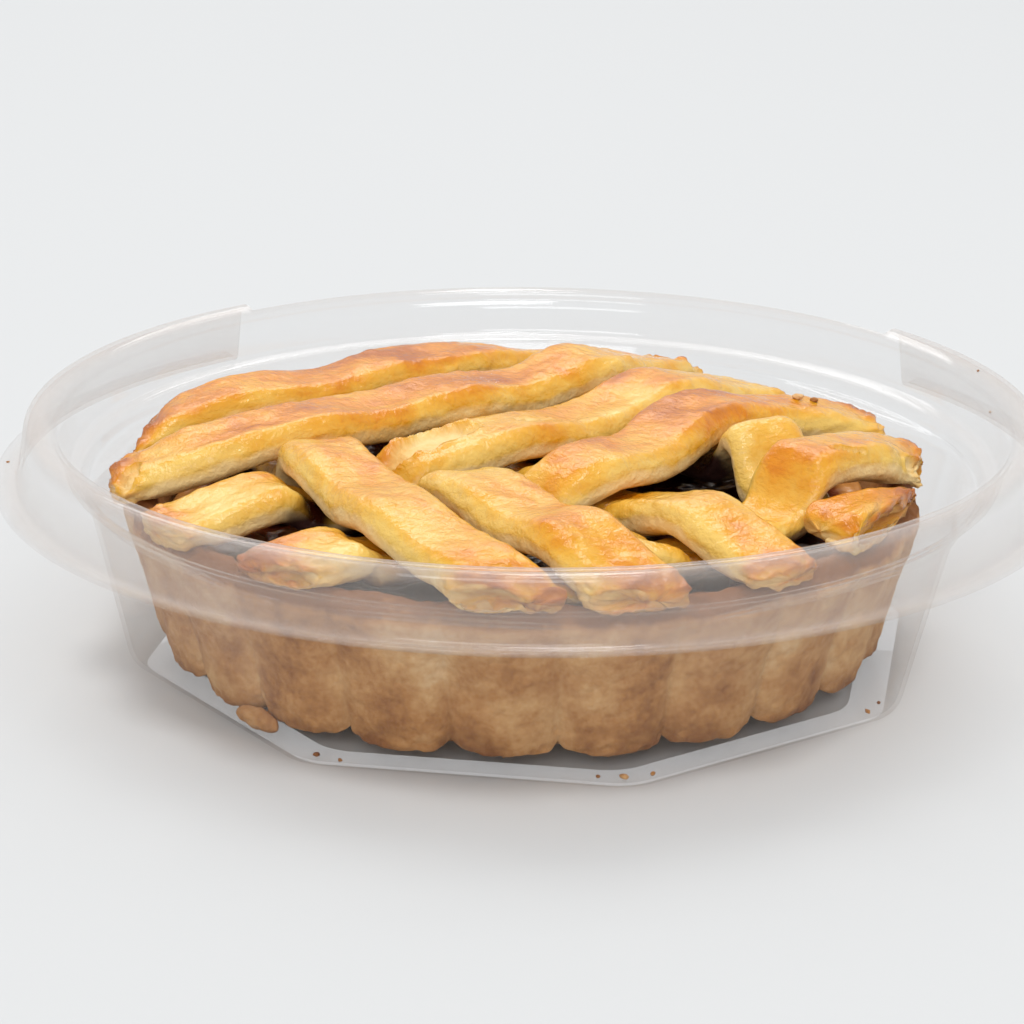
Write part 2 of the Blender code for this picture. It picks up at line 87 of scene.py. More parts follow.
def hashedGradients(corners, seed):
    # one seeded direction for each whole corner: large odd numbers scramble its bits
    x, y, z = (corners[:, i].astype(np.uint64) for i in range(3))
    h = (x * np.uint64(73856093)) ^ (y * np.uint64(19349663)) ^ (z * np.uint64(83492791))
    h = h ^ np.uint64(seed * 2654435761 % 2 ** 32)
    h = (h ^ (h >> np.uint64(13))) * np.uint64(1274126177) % np.uint64(2 ** 32)
    h = (h ^ (h >> np.uint64(16))) * np.uint64(2246822519) % np.uint64(2 ** 32)
    levels = np.uint64(4096)
    turn = (h % levels).astype(float) / 4096 * 2 * math.pi
    rise = ((h >> np.uint64(12)) % levels).astype(float) / 4096 * 2 - 1
    flat = np.sqrt(1 - rise ** 2)
    return np.column_stack([flat * np.cos(turn), flat * np.sin(turn), rise])


def lumps(points, size, seed):
    # smooth seeded noise of about -1 to 1, size is the width of a lump in metres
    scaled = points / size + 1000.5 + seed * 7.13
    base = np.floor(scaled)
    part = scaled - base
    ease = part ** 3 * (part * (part * 6 - 15) + 10)
    total = np.zeros(len(points))
    for corner in range(8):
        step = np.array([corner & 1, (corner >> 1) & 1, (corner >> 2) & 1])
        gradient = hashedGradients(base + step, seed)
        value = ((part - step) * gradient).sum(1)
        total += value * np.prod(np.where(step == 1, ease, 1 - ease), axis=1)
    return total * 1.6


def layeredLumps(points, size, seed, octaves=3):
    # lumps with finer and lower ones on top
    total = np.zeros(len(points))
    for k in range(octaves):
        total += lumps(points, size / 2 ** k, seed + 11 * k) / 2 ** k
    return total / 1.4


def cells(points, size, seed):
    # distance to the nearest of seeded scattered centres, 0 at a centre and about 1 between them
    scaled = points / size + 500.5
    base = np.floor(scaled)
    best = np.full(len(points), 9.0)
    for dx in (-1, 0, 1):
        for dy in (-1, 0, 1):
            for dz in (-1, 0, 1):
                cell = base + np.array([dx, dy, dz])
                center = cell + 0.5 + 0.45 * hashedGradients(cell, seed)
                best = np.minimum(best, ((scaled - center) ** 2).sum(1))
    return np.sqrt(best)


def gridFaces(rows, columns):
    # four-sided faces between rows that each close on themselves
    i, j = np.meshgrid(np.arange(rows - 1), np.arange(columns), indexing="ij")
    k = (j + 1) % columns
    corners = [i * columns + j, i * columns + k, (i + 1) * columns + k, (i + 1) * columns + j]
    return np.stack(corners, -1).reshape(-1, 4)


def gridNormals(grid):
    # grid is rows x columns x 3 and closes on itself along its columns
    across = np.roll(grid, -1, 1) - np.roll(grid, 1, 1)
    along = np.gradient(grid, axis=0)
    normal = np.cross(across, along)
    return normal / (np.linalg.norm(normal, axis=2)[..., None] + 1e-12)


def meshObject(name, points, faces, material, fields=None):
    mesh = bpy.data.meshes.new(name)
    mesh.from_pydata([tuple(p) for p in points], [], [tuple(int(i) for i in f) for f in faces])
    for field, values in (fields or {}).items():
        values = np.asarray(values, np.float32)
        kind, slot = ("FLOAT_VECTOR", "vector") if values.ndim == 2 else ("FLOAT", "value")
        mesh.attributes.new(field, kind, "POINT").data.foreach_set(slot, values.ravel())
    mesh.materials.append(material)
    mesh.shade_smooth()
    item = bpy.data.objects.new(name, mesh)
    bpy.context.scene.collection.objects.link(item)
    return item


def capRing(points, faces, start, count, inward):
    # closes a ring of vertices with one middle vertex
    points = np.vstack([points, points[start:start + count].mean(0)])
    tips = np.full(count, len(points) - 1)
    ring = np.arange(start, start + count)
    after = np.roll(ring, -1)
    fan = np.column_stack([ring, after, tips] if inward else [after, ring, tips])
    return points, [*faces, *fan]


def closedRows(points, rows, columns):
    # the faces of rows of points, with both ends closed
    points, faces = capRing(points, list(gridFaces(rows, columns)), 0, columns, True)
    return capRing(points, faces, (rows - 1) * columns, columns, False)


def ringRow(center, reach, turns, height):
    # a row of points around an upright axis, from the photo's side round by its right
    return np.column_stack([
        center[0] + reach * np.sin(turns), center[1] - reach * np.cos(turns), height + np.zeros(len(turns))])


def faceOut(item):
    turned = bmesh.new()
    turned.from_mesh(item.data)
    bmesh.ops.recalc_face_normals(turned, faces=turned.faces[:])
    turned.to_mesh(item.data)
    turned.free()


def putOn(item, slotName, *nodes):
    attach(item, "root")
    if nodes:
        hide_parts(*nodes)


# tub

tub = {
    "wall": 0.6 * mm,
    "axisY": 4.35 * mm,
    "columns": 384,
    # the stretch without bead, skirt and flange: from this radius out, between these turns and heights
    "cutRadius": 72.7 * mm,
    "cutOuter": 90 * mm,
    "cutFrom": math.radians(127.5),
    "cutTo": math.radians(220),
    "cutLow": 20 * mm,
    "cutHigh": 45 * mm,
    "cutSteps": 96,
    "sides": 8,
    "cornerTurn": math.radians(13),
    "footCorner": 8.0 * mm,
    "wallCorner": 26.0 * mm,
    "wallTopZ": 25.6 * mm,
    # radius, height and reach in mm of each whiter bend, and how white: partly the plastic's real milkiness,
    # partly a painted highlight for the bright bands of reflected and piped light
    "bends": (
        (74.6, 37.2, 2.3, 0.24), (68.9, 29.1, 1.5, 0.1), (65.2, 26.4, 1.2, 0.04), (78.0, 27.5, 1.6, 0.2),
    ),
    # how mirror-like and how milky the plastic is straight on, and how much more at a slant
    "mirror": 0.022,
    "mirrorSlant": 0.3,
    "haze": 0.016,
    "hazeSlant": 0.09,
    "milk": "#E3DAD3",
    "scuff": 14.3 * mm,  # width of the cloudy patches
    # how clear the plastic is at the foot, 1 is as milky as the walls
    "footHaze": 0.35,
    # middle line of the wall: radius, height, bend radius, 1 on the eight-sided rows, all in mm
    "line": (
        (20.0, 1.9, 0.0, 1), (48.6, 1.9, 0.9, 1), (49.8, 0.3, 0.5, 1), (56.4, 0.3, 0.9, 1),
        (57.7, 1.6, 1.6, 1), (63.9, 25.6, 1.2, 1), (64.6, 26.4, 0.4, 1), (67.3, 26.6, 0.7, 0),
        (68.0, 28.8, 0.7, 0), (70.2, 29.4, 0.8, 0), (71.0, 34.0, 0.6, 0), (71.9, 34.8, 0.4, 0),
        (72.0, 36.0, 0.6, 0), (73.2, 36.9, 0.7, 0), (74.8, 37.3, 1.0, 0), (76.1, 36.6, 0.7, 0),
        (76.4, 35.0, 0.6, 0), (77.5, 27.8, 0.5, 0), (78.3, 27.3, 0.3, 0), (81.05, 27.9, 0.0, 0),
    ),
}


def roundedLine(line):
    # each bend becomes a short arc, every point keeps how eight-sided it is
    out = []
    for i, (r, z, bend, eight) in enumerate(line):
        here = np.array([r, z, eight], float)
        if bend == 0:
            out.append(here)
            continue
        before = np.array([line[i - 1][0], line[i - 1][1], line[i - 1][3]], float)
        after = np.array([line[i + 1][0], line[i + 1][1], line[i + 1][3]], float)
        toBefore, toAfter = before - here, after - here
        reachBefore = min(bend / np.linalg.norm(toBefore[:2]), 0.45)
        reachAfter = min(bend / np.linalg.norm(toAfter[:2]), 0.45)
        first, last = here + toBefore * reachBefore, here + toAfter * reachAfter
        for t in np.linspace(0, 1, 5):
            out.append((1 - t) ** 2 * first + 2 * t * (1 - t) * here + t * t * last)
    return np.array(out)


def eightSided(apothem, corner, turns):
    # how far an eight-sided outline with round corners reaches at each turn
    half = math.pi / tub["sides"]
    offset = (turns - tub["cornerTurn"]) % (2 * half) - half
    straight = (apothem - corner) * math.tan(half)
    center = (apothem - corner) / math.cos(half)
    away = half - np.abs(offset)
    rounded = center * np.cos(away) + np.sqrt(np.maximum(corner ** 2 - (center * np.sin(away)) ** 2, 0))
    return np.where(apothem * np.abs(np.tan(offset)) <= straight, apothem / np.cos(offset), rounded)


def tubRows(line, turns):
    # eight-sided at the foot and the wall, round from the ledge up
    rows = []
    for r, z, eight in line:
        climbed = min(max(z * mm / tub["wallTopZ"], 0), 1)
        corner = tub["footCorner"] + (tub["wallCorner"] - tub["footCorner"]) * climbed
        reach = eightSided(r * mm, corner, turns) * eight + r * mm * (1 - eight)
        rows.append(ringRow((0, tub["axisY"]), reach, turns, z * mm))
    return rows


def shiftedLine(line, distance):
    # the line moved square to its run
    run = np.gradient(line[:, :2], axis=0)
    run /= np.linalg.norm(run, axis=1)[:, None]
    moved = line.copy()
    moved[:, 0] += run[:, 1] * distance
    moved[:, 1] -= run[:, 0] * distance
    return moved


def clearPlastic():
    # clear PET, vacuum formed: almost invisible straight on, milky and mirror-like at a slant
    material, tree, output = newMaterial("clearPlasticVacuumFormed")
    place = addNode(tree, "TexCoord").outputs["Object"]
    scuffs = addNode(tree, "TexNoise", {
        "Vector": place, "Scale": 1 / tub["scuff"], "Detail": 4}).outputs["Fac"]
    slant = addNode(tree, "LayerWeight", {"Blend": 0.5}).outputs["Facing"]
    steep = addNode(tree, "Math", {0: slant, 1: 4.0}, operation="POWER").outputs[0]
    mirror = addNode(tree, "Math", {
        0: steep, 1: tub["mirrorSlant"], 2: tub["mirror"]}, operation="MULTIPLY_ADD").outputs[0]
    soft = addNode(tree, "Math", {0: slant, 1: 3.0}, operation="POWER").outputs[0]
    haze = addNode(tree, "Math", {
        0: soft, 1: tub["hazeSlant"], 2: tub["haze"]}, operation="MULTIPLY_ADD").outputs[0]
    uneven = addNode(tree, "MapRange", {
        "Value": scuffs, "From Min": 0.3, "From Max": 0.7, "To Min": 0.7, "To Max": 1.3}).outputs[0]
    # milky white at the bends, partly real and partly a painted highlight for reflected and piped light
    bendHazeAndHighlight = addNode(tree, "Attribute", attribute_name="bendHazeAndHighlight").outputs["Fac"]
    haze = addNode(tree, "Math", {0: haze, 1: uneven, 2: bendHazeAndHighlight}, operation="MULTIPLY_ADD").outputs[0]
    polish = addNode(tree, "Attribute", attribute_name="polish").outputs["Fac"]
    thin = addNode(tree, "Math", {0: polish, 1: 0.4}, operation="POWER").outputs[0]
    haze = addNode(tree, "Math", {0: haze, 1: thin}, operation="MULTIPLY").outputs[0]
    through = addNode(tree, "BsdfTransparent", {"Color": linearColor("#FCFCFC")})
    shine = addNode(tree, "BsdfGlossy", {"Color": linearColor("#FFFFFF"), "Roughness": 0.07})
    milk = addNode(tree, "BsdfDiffuse", {"Color": linearColor(tub["milk"])})
    glow = addNode(tree, "BsdfTranslucent", {"Color": linearColor(tub["milk"])})
    cloud = addNode(tree, "MixShader", {0: 0.5, 1: milk.outputs[0], 2: glow.outputs[0]})
    clear = addNode(tree, "MixShader", {0: haze, 1: through.outputs[0], 2: cloud.outputs[0]})
    mirror = addNode(tree, "Math", {0: mirror, 1: polish}, operation="MULTIPLY").outputs[0]
    both = addNode(tree, "MixShader", {0: mirror, 1: clear.outputs[0], 2: shine.outputs[0]})
    lamp = addNode(tree, "LightPath").outputs["Is Shadow Ray"]
    lit = addNode(tree, "MixShader", {0: lamp, 1: both.outputs[0], 2: through.outputs[0]})
    tree.links.new(lit.outputs[0], output.inputs["Surface"])
    return material


def buildTub():
    turns = np.linspace(0, 2 * math.pi, tub["columns"], endpoint=False)
    line = roundedLine(tub["line"])
    half = tub["wall"] / mm / 2
    outside, inside = shiftedLine(line, half), shiftedLine(line, -half)
    rows = tubRows(outside, turns) + tubRows(inside[::-1], turns)
    points, faces = closedRows(np.vstack(rows), len(rows), len(turns))
    body = meshObject("clearTub", points, faces, clearPlastic())
    cutter = cutBlock()
    cut = body.modifiers.new("backCut", "BOOLEAN")
    cut.operation = "DIFFERENCE"
    cut.solver = "EXACT"
    cut.object = cutter
    bpy.context.view_layer.update()
    solid = bpy.data.meshes.new_from_object(body.evaluated_get(bpy.context.evaluated_depsgraph_get()))
    body.modifiers.clear()
    body.data = solid
    bpy.data.objects.remove(cutter, do_unlink=True)
    faceOut(body)
    solid.shade_smooth()
    solid.set_sharp_from_angle(angle=math.radians(50))
    bendHighlightsAndFootPolish(solid)
    putOn(body, "clear_plastic", "tub")
    return body


def bendHighlightsAndFootPolish(mesh):
    # the plastic is thicker and whiter where it bends: at the bead, the ledge and the skirt's edge; the extra
    # white there is also a painted highlight standing in for reflected and piped light
    places = np.zeros(len(mesh.vertices) * 3)
    mesh.vertices.foreach_get("co", places)
    x, y, z = places.reshape(-1, 3).T / mm
    radius = np.hypot(x, y - tub["axisY"] / mm)
    bendHazeAndHighlight = np.zeros(len(z))
    for atRadius, atHeight, spread, strength in tub["bends"]:
        bendHazeAndHighlight += strength * np.exp(-((radius - atRadius) ** 2 + (z - atHeight) ** 2) / spread ** 2)
    polish = tub["footHaze"] + (1 - tub["footHaze"]) * smoothStep(2.0, 7.0, z)
    for field, values in (("bendHazeAndHighlight", bendHazeAndHighlight), ("polish", polish)):
        mesh.attributes.new(field, "FLOAT", "POINT").data.foreach_set("value", values.astype(np.float32))


def cutBlock():
    # a curved block that takes the missing stretch of the rim away
    steps = tub["cutSteps"]
    inner, outer, low, high = tub["cutRadius"], tub["cutOuter"], tub["cutLow"], tub["cutHigh"]
    points, faces = [], []
    for turn in np.linspace(tub["cutFrom"], tub["cutTo"], steps):
        for r, z in ((inner, low), (outer, low), (outer, high), (inner, high)):
            points.append((r * math.sin(turn), tub["axisY"] - r * math.cos(turn), z))
    for i in range(steps - 1):
        for k in range(4):
            n = (k + 1) % 4
            faces.append((4 * i + k, 4 * i + n, 4 * i + 4 + n, 4 * i + 4 + k))
    faces += [(3, 2, 1, 0), (4 * steps - 4, 4 * steps - 3, 4 * steps - 2, 4 * steps - 1)]
    block = bpy.data.objects.new("cutBlock", bpy.data.meshes.new("cutBlock"))
    block.data.from_pydata(points, [], faces)
    bpy.context.scene.collection.objects.link(block)
    faceOut(block)
    return block


# crust

pieCenter = np.array([-1.7 * mm, tub["axisY"] - 1.2 * mm])

crust = {
    "flutes": 22,
    "fluteTurn": math.radians(-2.6),
    "fluteDepth": 2.6 * mm,
    # 1 makes the creases between the flutes sharp, less makes them soft
    "crease": 0.95,
    # how far the foot rises between two flutes, fading out between these heights, in mm
    "arch": 2.6 * mm,
    "archFade": (2.5, 6.0),
    "columns": 22 * 36,
    # outline: radius, height, how far the flutes count, rows up to the next point
    "line": (
        (46.0, 2.5, 0.0, 6), (54.0, 2.5, 0.7, 3), (54.6, 2.9, 1.0, 14), (55.9, 6.75, 1.15, 14),
        (57.3, 13.0, 1.0, 14), (59.1, 18.7, 0.85, 12), (60.4, 23.0, 0.5, 5), (59.7, 24.9, 0.3, 6),
        (57.6, 26.8, 0.0, 6), (55.6, 26.3, 0.0, 6), (53.7, 16.2, 0.0, 2), (51.0, 7.0, 0.0, 1),
    ),
    # heights of the relief: slow waves, grain, pits, the ragged foot edge and the flaky rim
    "waves": 0.45 * mm,
    "grain": 0.16 * mm,
    "pits": 0.9 * mm,
    "ragged": 0.5 * mm,
    "flakes": 0.6 * mm,
    "browning": {"ridge": 0.12, "foot": 0.12, "rim": 0.3, "broad": 0.12},
    # widths of the browner patches and of the sandy grain in the colour
    "patch": 9.09 * mm,
    "sand": 1.11 * mm,
    "tones": ((0.42, "#DDBB8F"), (0.6, "#C99C68"), (0.75, "#B17D49"), (0.93, "#84532D")),
}


def fluteWave(turns):
    # 1 at the ridge of a flute and low in the crease between two
    across = 2 * (((turns - crust["fluteTurn"]) * crust["flutes"] / (2 * math.pi) + 0.5) % 1.0) - 1
    return np.sqrt(1 - crust["crease"] * across ** 2)


def denseLine(line):
    # the outline with its rows filled in and its bends softened
    out = []
    for start, end in zip(line, line[1:]):
        for t in np.arange(start[3]) / start[3]:
            out.append([start[k] * (1 - t) + end[k] * t for k in range(3)])
    out.append(list(line[-1][:3]))
    smooth = np.array(out)
    for _ in range(2):
        smooth[1:-1] = (smooth[:-2] + 2 * smooth[1:-1] + smooth[2:]) / 4
    return smooth


def bakedCrust():
    # shortcrust baked against a fluted ring: matte, sandy, tan with browner ridges and paler hollows
    material, tree, output = newMaterial("shortcrustBaked")
    place = addNode(tree, "TexCoord").outputs["Object"]
    patches = addNode(tree, "TexNoise", {
        "Vector": place, "Scale": 1 / crust["patch"], "Detail": 4, "Roughness": 0.6}).outputs["Fac"]
    sand = addNode(tree, "TexNoise", {
        "Vector": place, "Scale": 1 / crust["sand"], "Detail": 4, "Roughness": 0.65}).outputs["Fac"]
    bake = addNode(tree, "Attribute", attribute_name="bake").outputs["Fac"]
    mixed = addNode(tree, "Math", {0: patches, 1: 0.85, 2: bake}, operation="MULTIPLY_ADD").outputs[0]
    mixed = addNode(tree, "Math", {0: sand, 1: 0.3, 2: mixed}, operation="MULTIPLY_ADD").outputs[0]
    tone = addNode(tree, "ValToRGB", {"Fac": mixed}, crust["tones"]).outputs["Color"]
    bump = addNode(tree, "Bump", {"Height": sand, "Strength": 0.35, "Distance": 0.0006}).outputs[0]
    shader = addNode(tree, "BsdfPrincipled", {
        "Base Color": tone, "Roughness": 0.8, "IOR": 1.45, "Specular IOR Level": 0.3, "Normal": bump,
    })
    tree.links.new(shader.outputs[0], output.inputs["Surface"])
    return material


def buildCrust(material):
    count = crust["columns"]
    turns = crust["fluteTurn"] + 2 * math.pi * (np.arange(count) / count)
    wave = fluteWave(turns)
    low, high = crust["archFade"]
    rows = []
    for r, z, fluted in denseLine(crust["line"]):
        reach = r * mm - crust["fluteDepth"] * fluted * (1 - wave)
        fade = np.clip((high - z) / (high - low), 0, 1) if r > 50 and fluted > 0 else 0
        rows.append(ringRow(pieCenter, reach, turns, z * mm + crust["arch"] * (1 - wave) ** 1.5 * fade))
    grid = np.array(rows)
    normals = gridNormals(grid)
    side = normals[30]  # a row on the flutes shows which way is out
    normals *= np.sign((side[:, 0] * np.sin(turns) - side[:, 1] * np.cos(turns)).mean())
    flat, n = grid.reshape(-1, 3), normals.reshape(-1, 3)
    height = flat[:, 2]
    fromAxis = np.hypot(flat[:, 0] - pieCenter[0], flat[:, 1] - pieCenter[1])
    shown = ((height > 2.55 * mm) & (fromAxis > 50 * mm)).astype(float)
    relief = crust["waves"] * layeredLumps(flat, 9 * mm, 3, 2)
    relief += crust["grain"] * layeredLumps(flat, 2.2 * mm, 5, 3)
    pits = crust["pits"] * np.clip(0.42 - cells(flat, 2.3 * mm, 8), 0, 1)
    edge = np.exp(-((height - 3.2 * mm) / (1.6 * mm)) ** 2)
    relief += crust["ragged"] * edge * layeredLumps(flat, 2.6 * mm, 17, 2)
    top = smoothStep(23.2 * mm, 25.0 * mm, height)
    relief += crust["flakes"] * top * layeredLumps(flat, 4 * mm, 27, 3)
    moved = flat + n * ((relief - pits - 0.15 * mm) * shown)[:, None]
    moved[:, 2] = np.maximum(moved[:, 2], 2.3 * mm)  # stays above the tub's floor
    ridge = np.tile(wave, len(rows))
    brown = crust["browning"]
    bake = 0.02 + brown["ridge"] * ridge + brown["foot"] * edge + brown["rim"] * top
    bake += brown["broad"] * lumps(flat, 14 * mm, 41)
    points, faces = closedRows(moved, len(rows), count)
    item = meshObject("flutedCrust", points, faces, material, {"bake": np.append(bake, [0.1, 0.1])})
    faceOut(item)
    putOn(item, "baked_crust", "crust")
    return item


# filling

filling = {
    "columns": 240,
    "rings": 110,
    # radius and height of the rows that touch the crust, in mm
    "wall": ((50.1, 7.35), (52.9, 16.2), (53.6, 21.0)),
    "top": 22.2 * mm,
    "highest": 23.5 * mm,
    # width of an apple chunk and how far it rises
    "chunk": 8.5 * mm,
    "chunkRise": 2.2 * mm,
    "rough": 0.5 * mm,
    "brownSpot": (-38.5 * mm, -13.5 * mm),  # middle of a place where the apple is browner
    "cloud": 6.25 * mm,
    # the pale tan last stop colours the shaded outer ring as painted light
    "tones": ((0.2, "#1D0603"), (0.48, "#330D05"), (0.75, "#6A2A0C"), (1.0, "#C98A4A")),
}


def cookedApple():
    # apple cooked down in dark syrup: wet, deep red brown, with lighter chunks and a pale tan outer ring
    # painted as light on a shaded place
    material, tree, output = newMaterial("appleFillingCooked")
    place = addNode(tree, "TexCoord").outputs["Object"]
    cloud = addNode(tree, "TexNoise", {
        "Vector": place, "Scale": 1 / filling["cloud"], "Detail": 4}).outputs["Fac"]
    # this also brings the pale outer ring, painted light for its shaded gap
    chunk = addNode(tree, "Attribute", attribute_name="chunk").outputs["Fac"]
    mixed = addNode(tree, "Math", {0: cloud, 1: 0.5, 2: chunk}, operation="MULTIPLY_ADD").outputs[0]
    tone = addNode(tree, "ValToRGB", {"Fac": mixed}, filling["tones"]).outputs["Color"]
    bump = addNode(tree, "Bump", {"Height": cloud, "Strength": 0.4, "Distance": 0.001}).outputs[0]
    shader = addNode(tree, "BsdfPrincipled", {
        "Base Color": tone, "Roughness": 0.22, "IOR": 1.42, "Normal": bump,
    })
    tree.links.new(shader.outputs[0], output.inputs["Surface"])
    return material


def buildFilling(material):
    count = filling["columns"]
    turns = np.linspace(0, 2 * math.pi, count, endpoint=False)
    rows = [ringRow(pieCenter, r * mm, turns, z * mm) for r, z in filling["wall"]]
    for r in np.linspace(53.0, 0.6, filling["rings"]):
        ring = ringRow(pieCenter, r * mm, turns, 0)
        soft = cells(ring, filling["chunk"], 5)
        hill = filling["top"] + filling["chunkRise"] * (0.55 - soft)
        hill += filling["rough"] * layeredLumps(ring, 3 * mm, 9, 2)
        ring[:, 2] = np.minimum(hill, filling["highest"])
        rows.append(ring)
    points = np.vstack(rows)
    soft = cells(points * np.array([1.0, 1.0, 0.0]), filling["chunk"], 5)
    browner = np.hypot(points[:, 0] - filling["brownSpot"][0], points[:, 1] - filling["brownSpot"][1])
    edge = smoothStep(45 * mm, 51 * mm, np.hypot(points[:, 0] - pieCenter[0], points[:, 1] - pieCenter[1]))
    # 0 is dark syrup, 1 is baked brown apple; the outer ring is raised towards pale tan as painted light, so
    # that its shaded gap under the strip ends shows brown
    chunk = 0.12 * (1 - smoothStep(0.15, 0.5, soft)) + 0.42 * (1 - smoothStep(3 * mm, 7 * mm, browner))
    chunk += 0.7 * edge
    points, faces = closedRows(points, len(rows), count)
    item = meshObject("appleFilling", points, faces, material, {"chunk": np.append(chunk, [0, 0])})
    faceOut(item)
    putOn(item, "dark_filling", "filling")
    return item


# lattice

lattice = {
    "turn": math.radians(40),
    "width": 13.2 * mm,
    # thickness of a strip that lies free and of one pressed under others
    "thick": 6.6 * mm,
    "least": 3.2 * mm,
    # the lowest that a strip sags over the filling, the gap between two strips and the steepest way down
    "sag": 24.1 * mm,
    "gap": 0.5 * mm,
    "slope": 1.7,
    # the ends are thinner: over this length, down to this share
    "endTaper": 9.0 * mm,
    "endShare": 0.7,
    # how far from the pie's middle the ends are cut
    "reach": 62.0 * mm,
    # strips whose left and right ends are cut shorter or longer than the others
    "ownReach": {
        "strip_long_1": (59.6 * mm, 59.6 * mm),
        "strip_long_2": (63.0 * mm, 62.0 * mm),
        "strip_long_3": (62.0 * mm, 60.2 * mm),
        "strip_long_4": (60.9 * mm, 60.9 * mm),
        "strip_long_5": (62.0 * mm, 61.3 * mm),
        "strip_long_6": (60.0 * mm, 59.6 * mm),
    },
    # a cut end is blunt and ragged by these; ends beyond trimFrom follow the rim over the length trimRun,
    # and nose is the length that an end rounds off over
    "endBlunt": 0.9 * mm,
    "endRagged": 0.45 * mm,
    "trimFrom": 57.0 * mm,
    "trimRun": 13.0 * mm,
    "nose": 2.4 * mm,
    # section: height of its widest place, and how full its sides, top and underside are
    "belly": 0.42,
    "side": 0.72,
    "topBlunt": 0.8,
    "keelBlunt": 0.8,
    # the crust's rim that the ends lie on: where it starts and is highest, its height, the gap over it and
    # how steeply it falls away outside
    "rimInner": 55.0 * mm,
    "rimTop": 57.6 * mm,
    "rimZ": 25.4 * mm,
    "rimGap": 0.35 * mm,
    "rimFall": 0.16,
    # points around a section and the distance between two sections
    "ring": 76,
    "step": 0.42 * mm,
}

# each strip: node, width factor, how dark it is baked, and crest places along, across and above, mm
strips = (
    ("strip_cross_4", 0.98, -0.16, (
        (28.2, 34, 29.6), (28, 31, 30.5), (28.5, 21, 29.5), (29, 11, 32), (29, 3, 29.5),
        (28.2, -6, 32), (28, -12.5, 31), (27.4, -20.5, 37), (26, -26, 36.6), (24, -31.5, 34),
        (22.8, -37.5, 30))),
    ("strip_long_5", 0.98, 0.02, (
        (-32.5, -41, 29), (-25, -41, 29.5), (-14, -41, 31.4), (-9, -41, 30), (3, -40.5, 33.5),
        (11, -39.5, 36), (19, -38.6, 36.8), (28, -38, 36.5), (39, -37.5, 34.2), (47, -40, 31))),
    ("strip_cross_3", 0.98, -0.04, (
        (13, 59, 29), (10, 42, 29.5), (7, 31, 31.5), (4, 21, 29.5), (1, 10, 32), (-1, 0, 29.5),
        (-1.2, -10, 32), (-1.5, -20, 29.6), (-1.4, -31.5, 32.6), (-1.8, -41, 35), (-2.4, -50, 32.6),
        (-3, -59, 29.6))),
    ("strip_long_6", 0.9, 0.0, (
        (12.3, -51, 31), (19.5, -52, 32.2), (28, -51.6, 29.8))),
    ("strip_long_4", 1.02, 0.06, (
        (-58.5, -15, 29.6), (-51, -17, 32.2), (-45, -17.5, 32.4), (-39, -18, 30.3), (-25, -19.5, 30),
        (-15, -19.8, 33), (-5, -20, 36.7), (8, -17.6, 35.6), (20, -13, 37), (30, -11.6, 37),
        (40, -13, 34.6), (48, -15.5, 32.8), (55.5, -17.5, 29.8))),
    ("strip_cross_2", 1.06, -0.03, (
        (-19.8, -8.8, 34), (-22, -17, 36.6), (-23.8, -30, 35), (-24.6, -42, 36), (-25.2, -55.5, 30))),
    ("strip_long_3", 1.04, -0.04, (
        (-59, 9, 30.3), (-53, 8, 31.4), (-48, 7.2, 32.8), (-43, 6.4, 33.8), (-39, 5.2, 32.6),
        (-34, 3.4, 30.5), (-26, 2.2, 34), (-20, 1.6, 35), (-13, 1, 35.2), (-1, 0.2, 36.5),
        (10, 0.8, 34.7), (20, 2.2, 35.2), (31, 3.8, 36.8), (44, 4.6, 33.4), (56.5, 5.4, 29.6))),
    ("strip_cross_1", 1.0, 0.0, (
        (-17, 57, 29), (-19.5, 42, 29.5), (-22, 32, 31), (-25.5, 21.5, 29.3), (-28.3, 14, 35),
        (-31, 9, 36.6), (-33.5, 2, 37), (-36, -8, 35.5), (-38, -18, 36.7), (-39.5, -30, 34.5),
        (-40, -40, 34), (-40.5, -48, 30.5))),
    ("strip_long_2", 1.06, -0.01, (
        (-55.2, 30.3, 30.6), (-50, 28.3, 32.5), (-42, 25, 35.2), (-27, 21.8, 37.3), (-14, 21.2, 36.4),
        (4, 20.5, 37), (15, 20.5, 35.2), (30, 20.5, 37), (43, 23.5, 33.5), (55, 27, 29))),
    ("strip_long_1", 0.98, 0.2, (
        (-37, 44.5, 30.2), (-33, 44.5, 33.2), (-27, 44, 35.2), (-20, 43, 35.9), (-6, 41.5, 34.8),
        (4, 41, 35.8), (14, 41, 35.4), (25, 41.5, 34), (34, 42.5, 32), (42, 43.5, 30))),
)


def smoothPath(points, step):
    # a smooth curve through the points, cut into even steps
    places = np.array(points, float) * mm
    padded = np.vstack([2 * places[0] - places[1], places, 2 * places[-1] - places[-2]])
    fine = []
    for p0, p1, p2, p3 in zip(padded, padded[1:], padded[2:], padded[3:]):
        for t in np.linspace(0, 1, 24, endpoint=False):
            bend = 2 * p1 + (p2 - p0) * t + (2 * p0 - 5 * p1 + 4 * p2 - p3) * t ** 2
            fine.append(0.5 * (bend + (3 * p1 - p0 - 3 * p2 + p3) * t ** 3))
    fine = np.array(fine + [places[-1]])
    run = np.concatenate([[0], np.cumsum(np.linalg.norm(np.diff(fine[:, :2], axis=0), axis=1))])
    even = np.linspace(0, run[-1], max(int(round(run[-1] / step)), 2) + 1)
    return np.column_stack([np.interp(even, run, fine[:, i]) for i in range(3)])


def toWorld(path):
    cos, sin = math.cos(lattice["turn"]), math.sin(lattice["turn"])
    return np.column_stack([
        pieCenter[0] + path[:, 0] * cos - path[:, 1] * sin,
        pieCenter[1] + path[:, 0] * sin + path[:, 1] * cos])


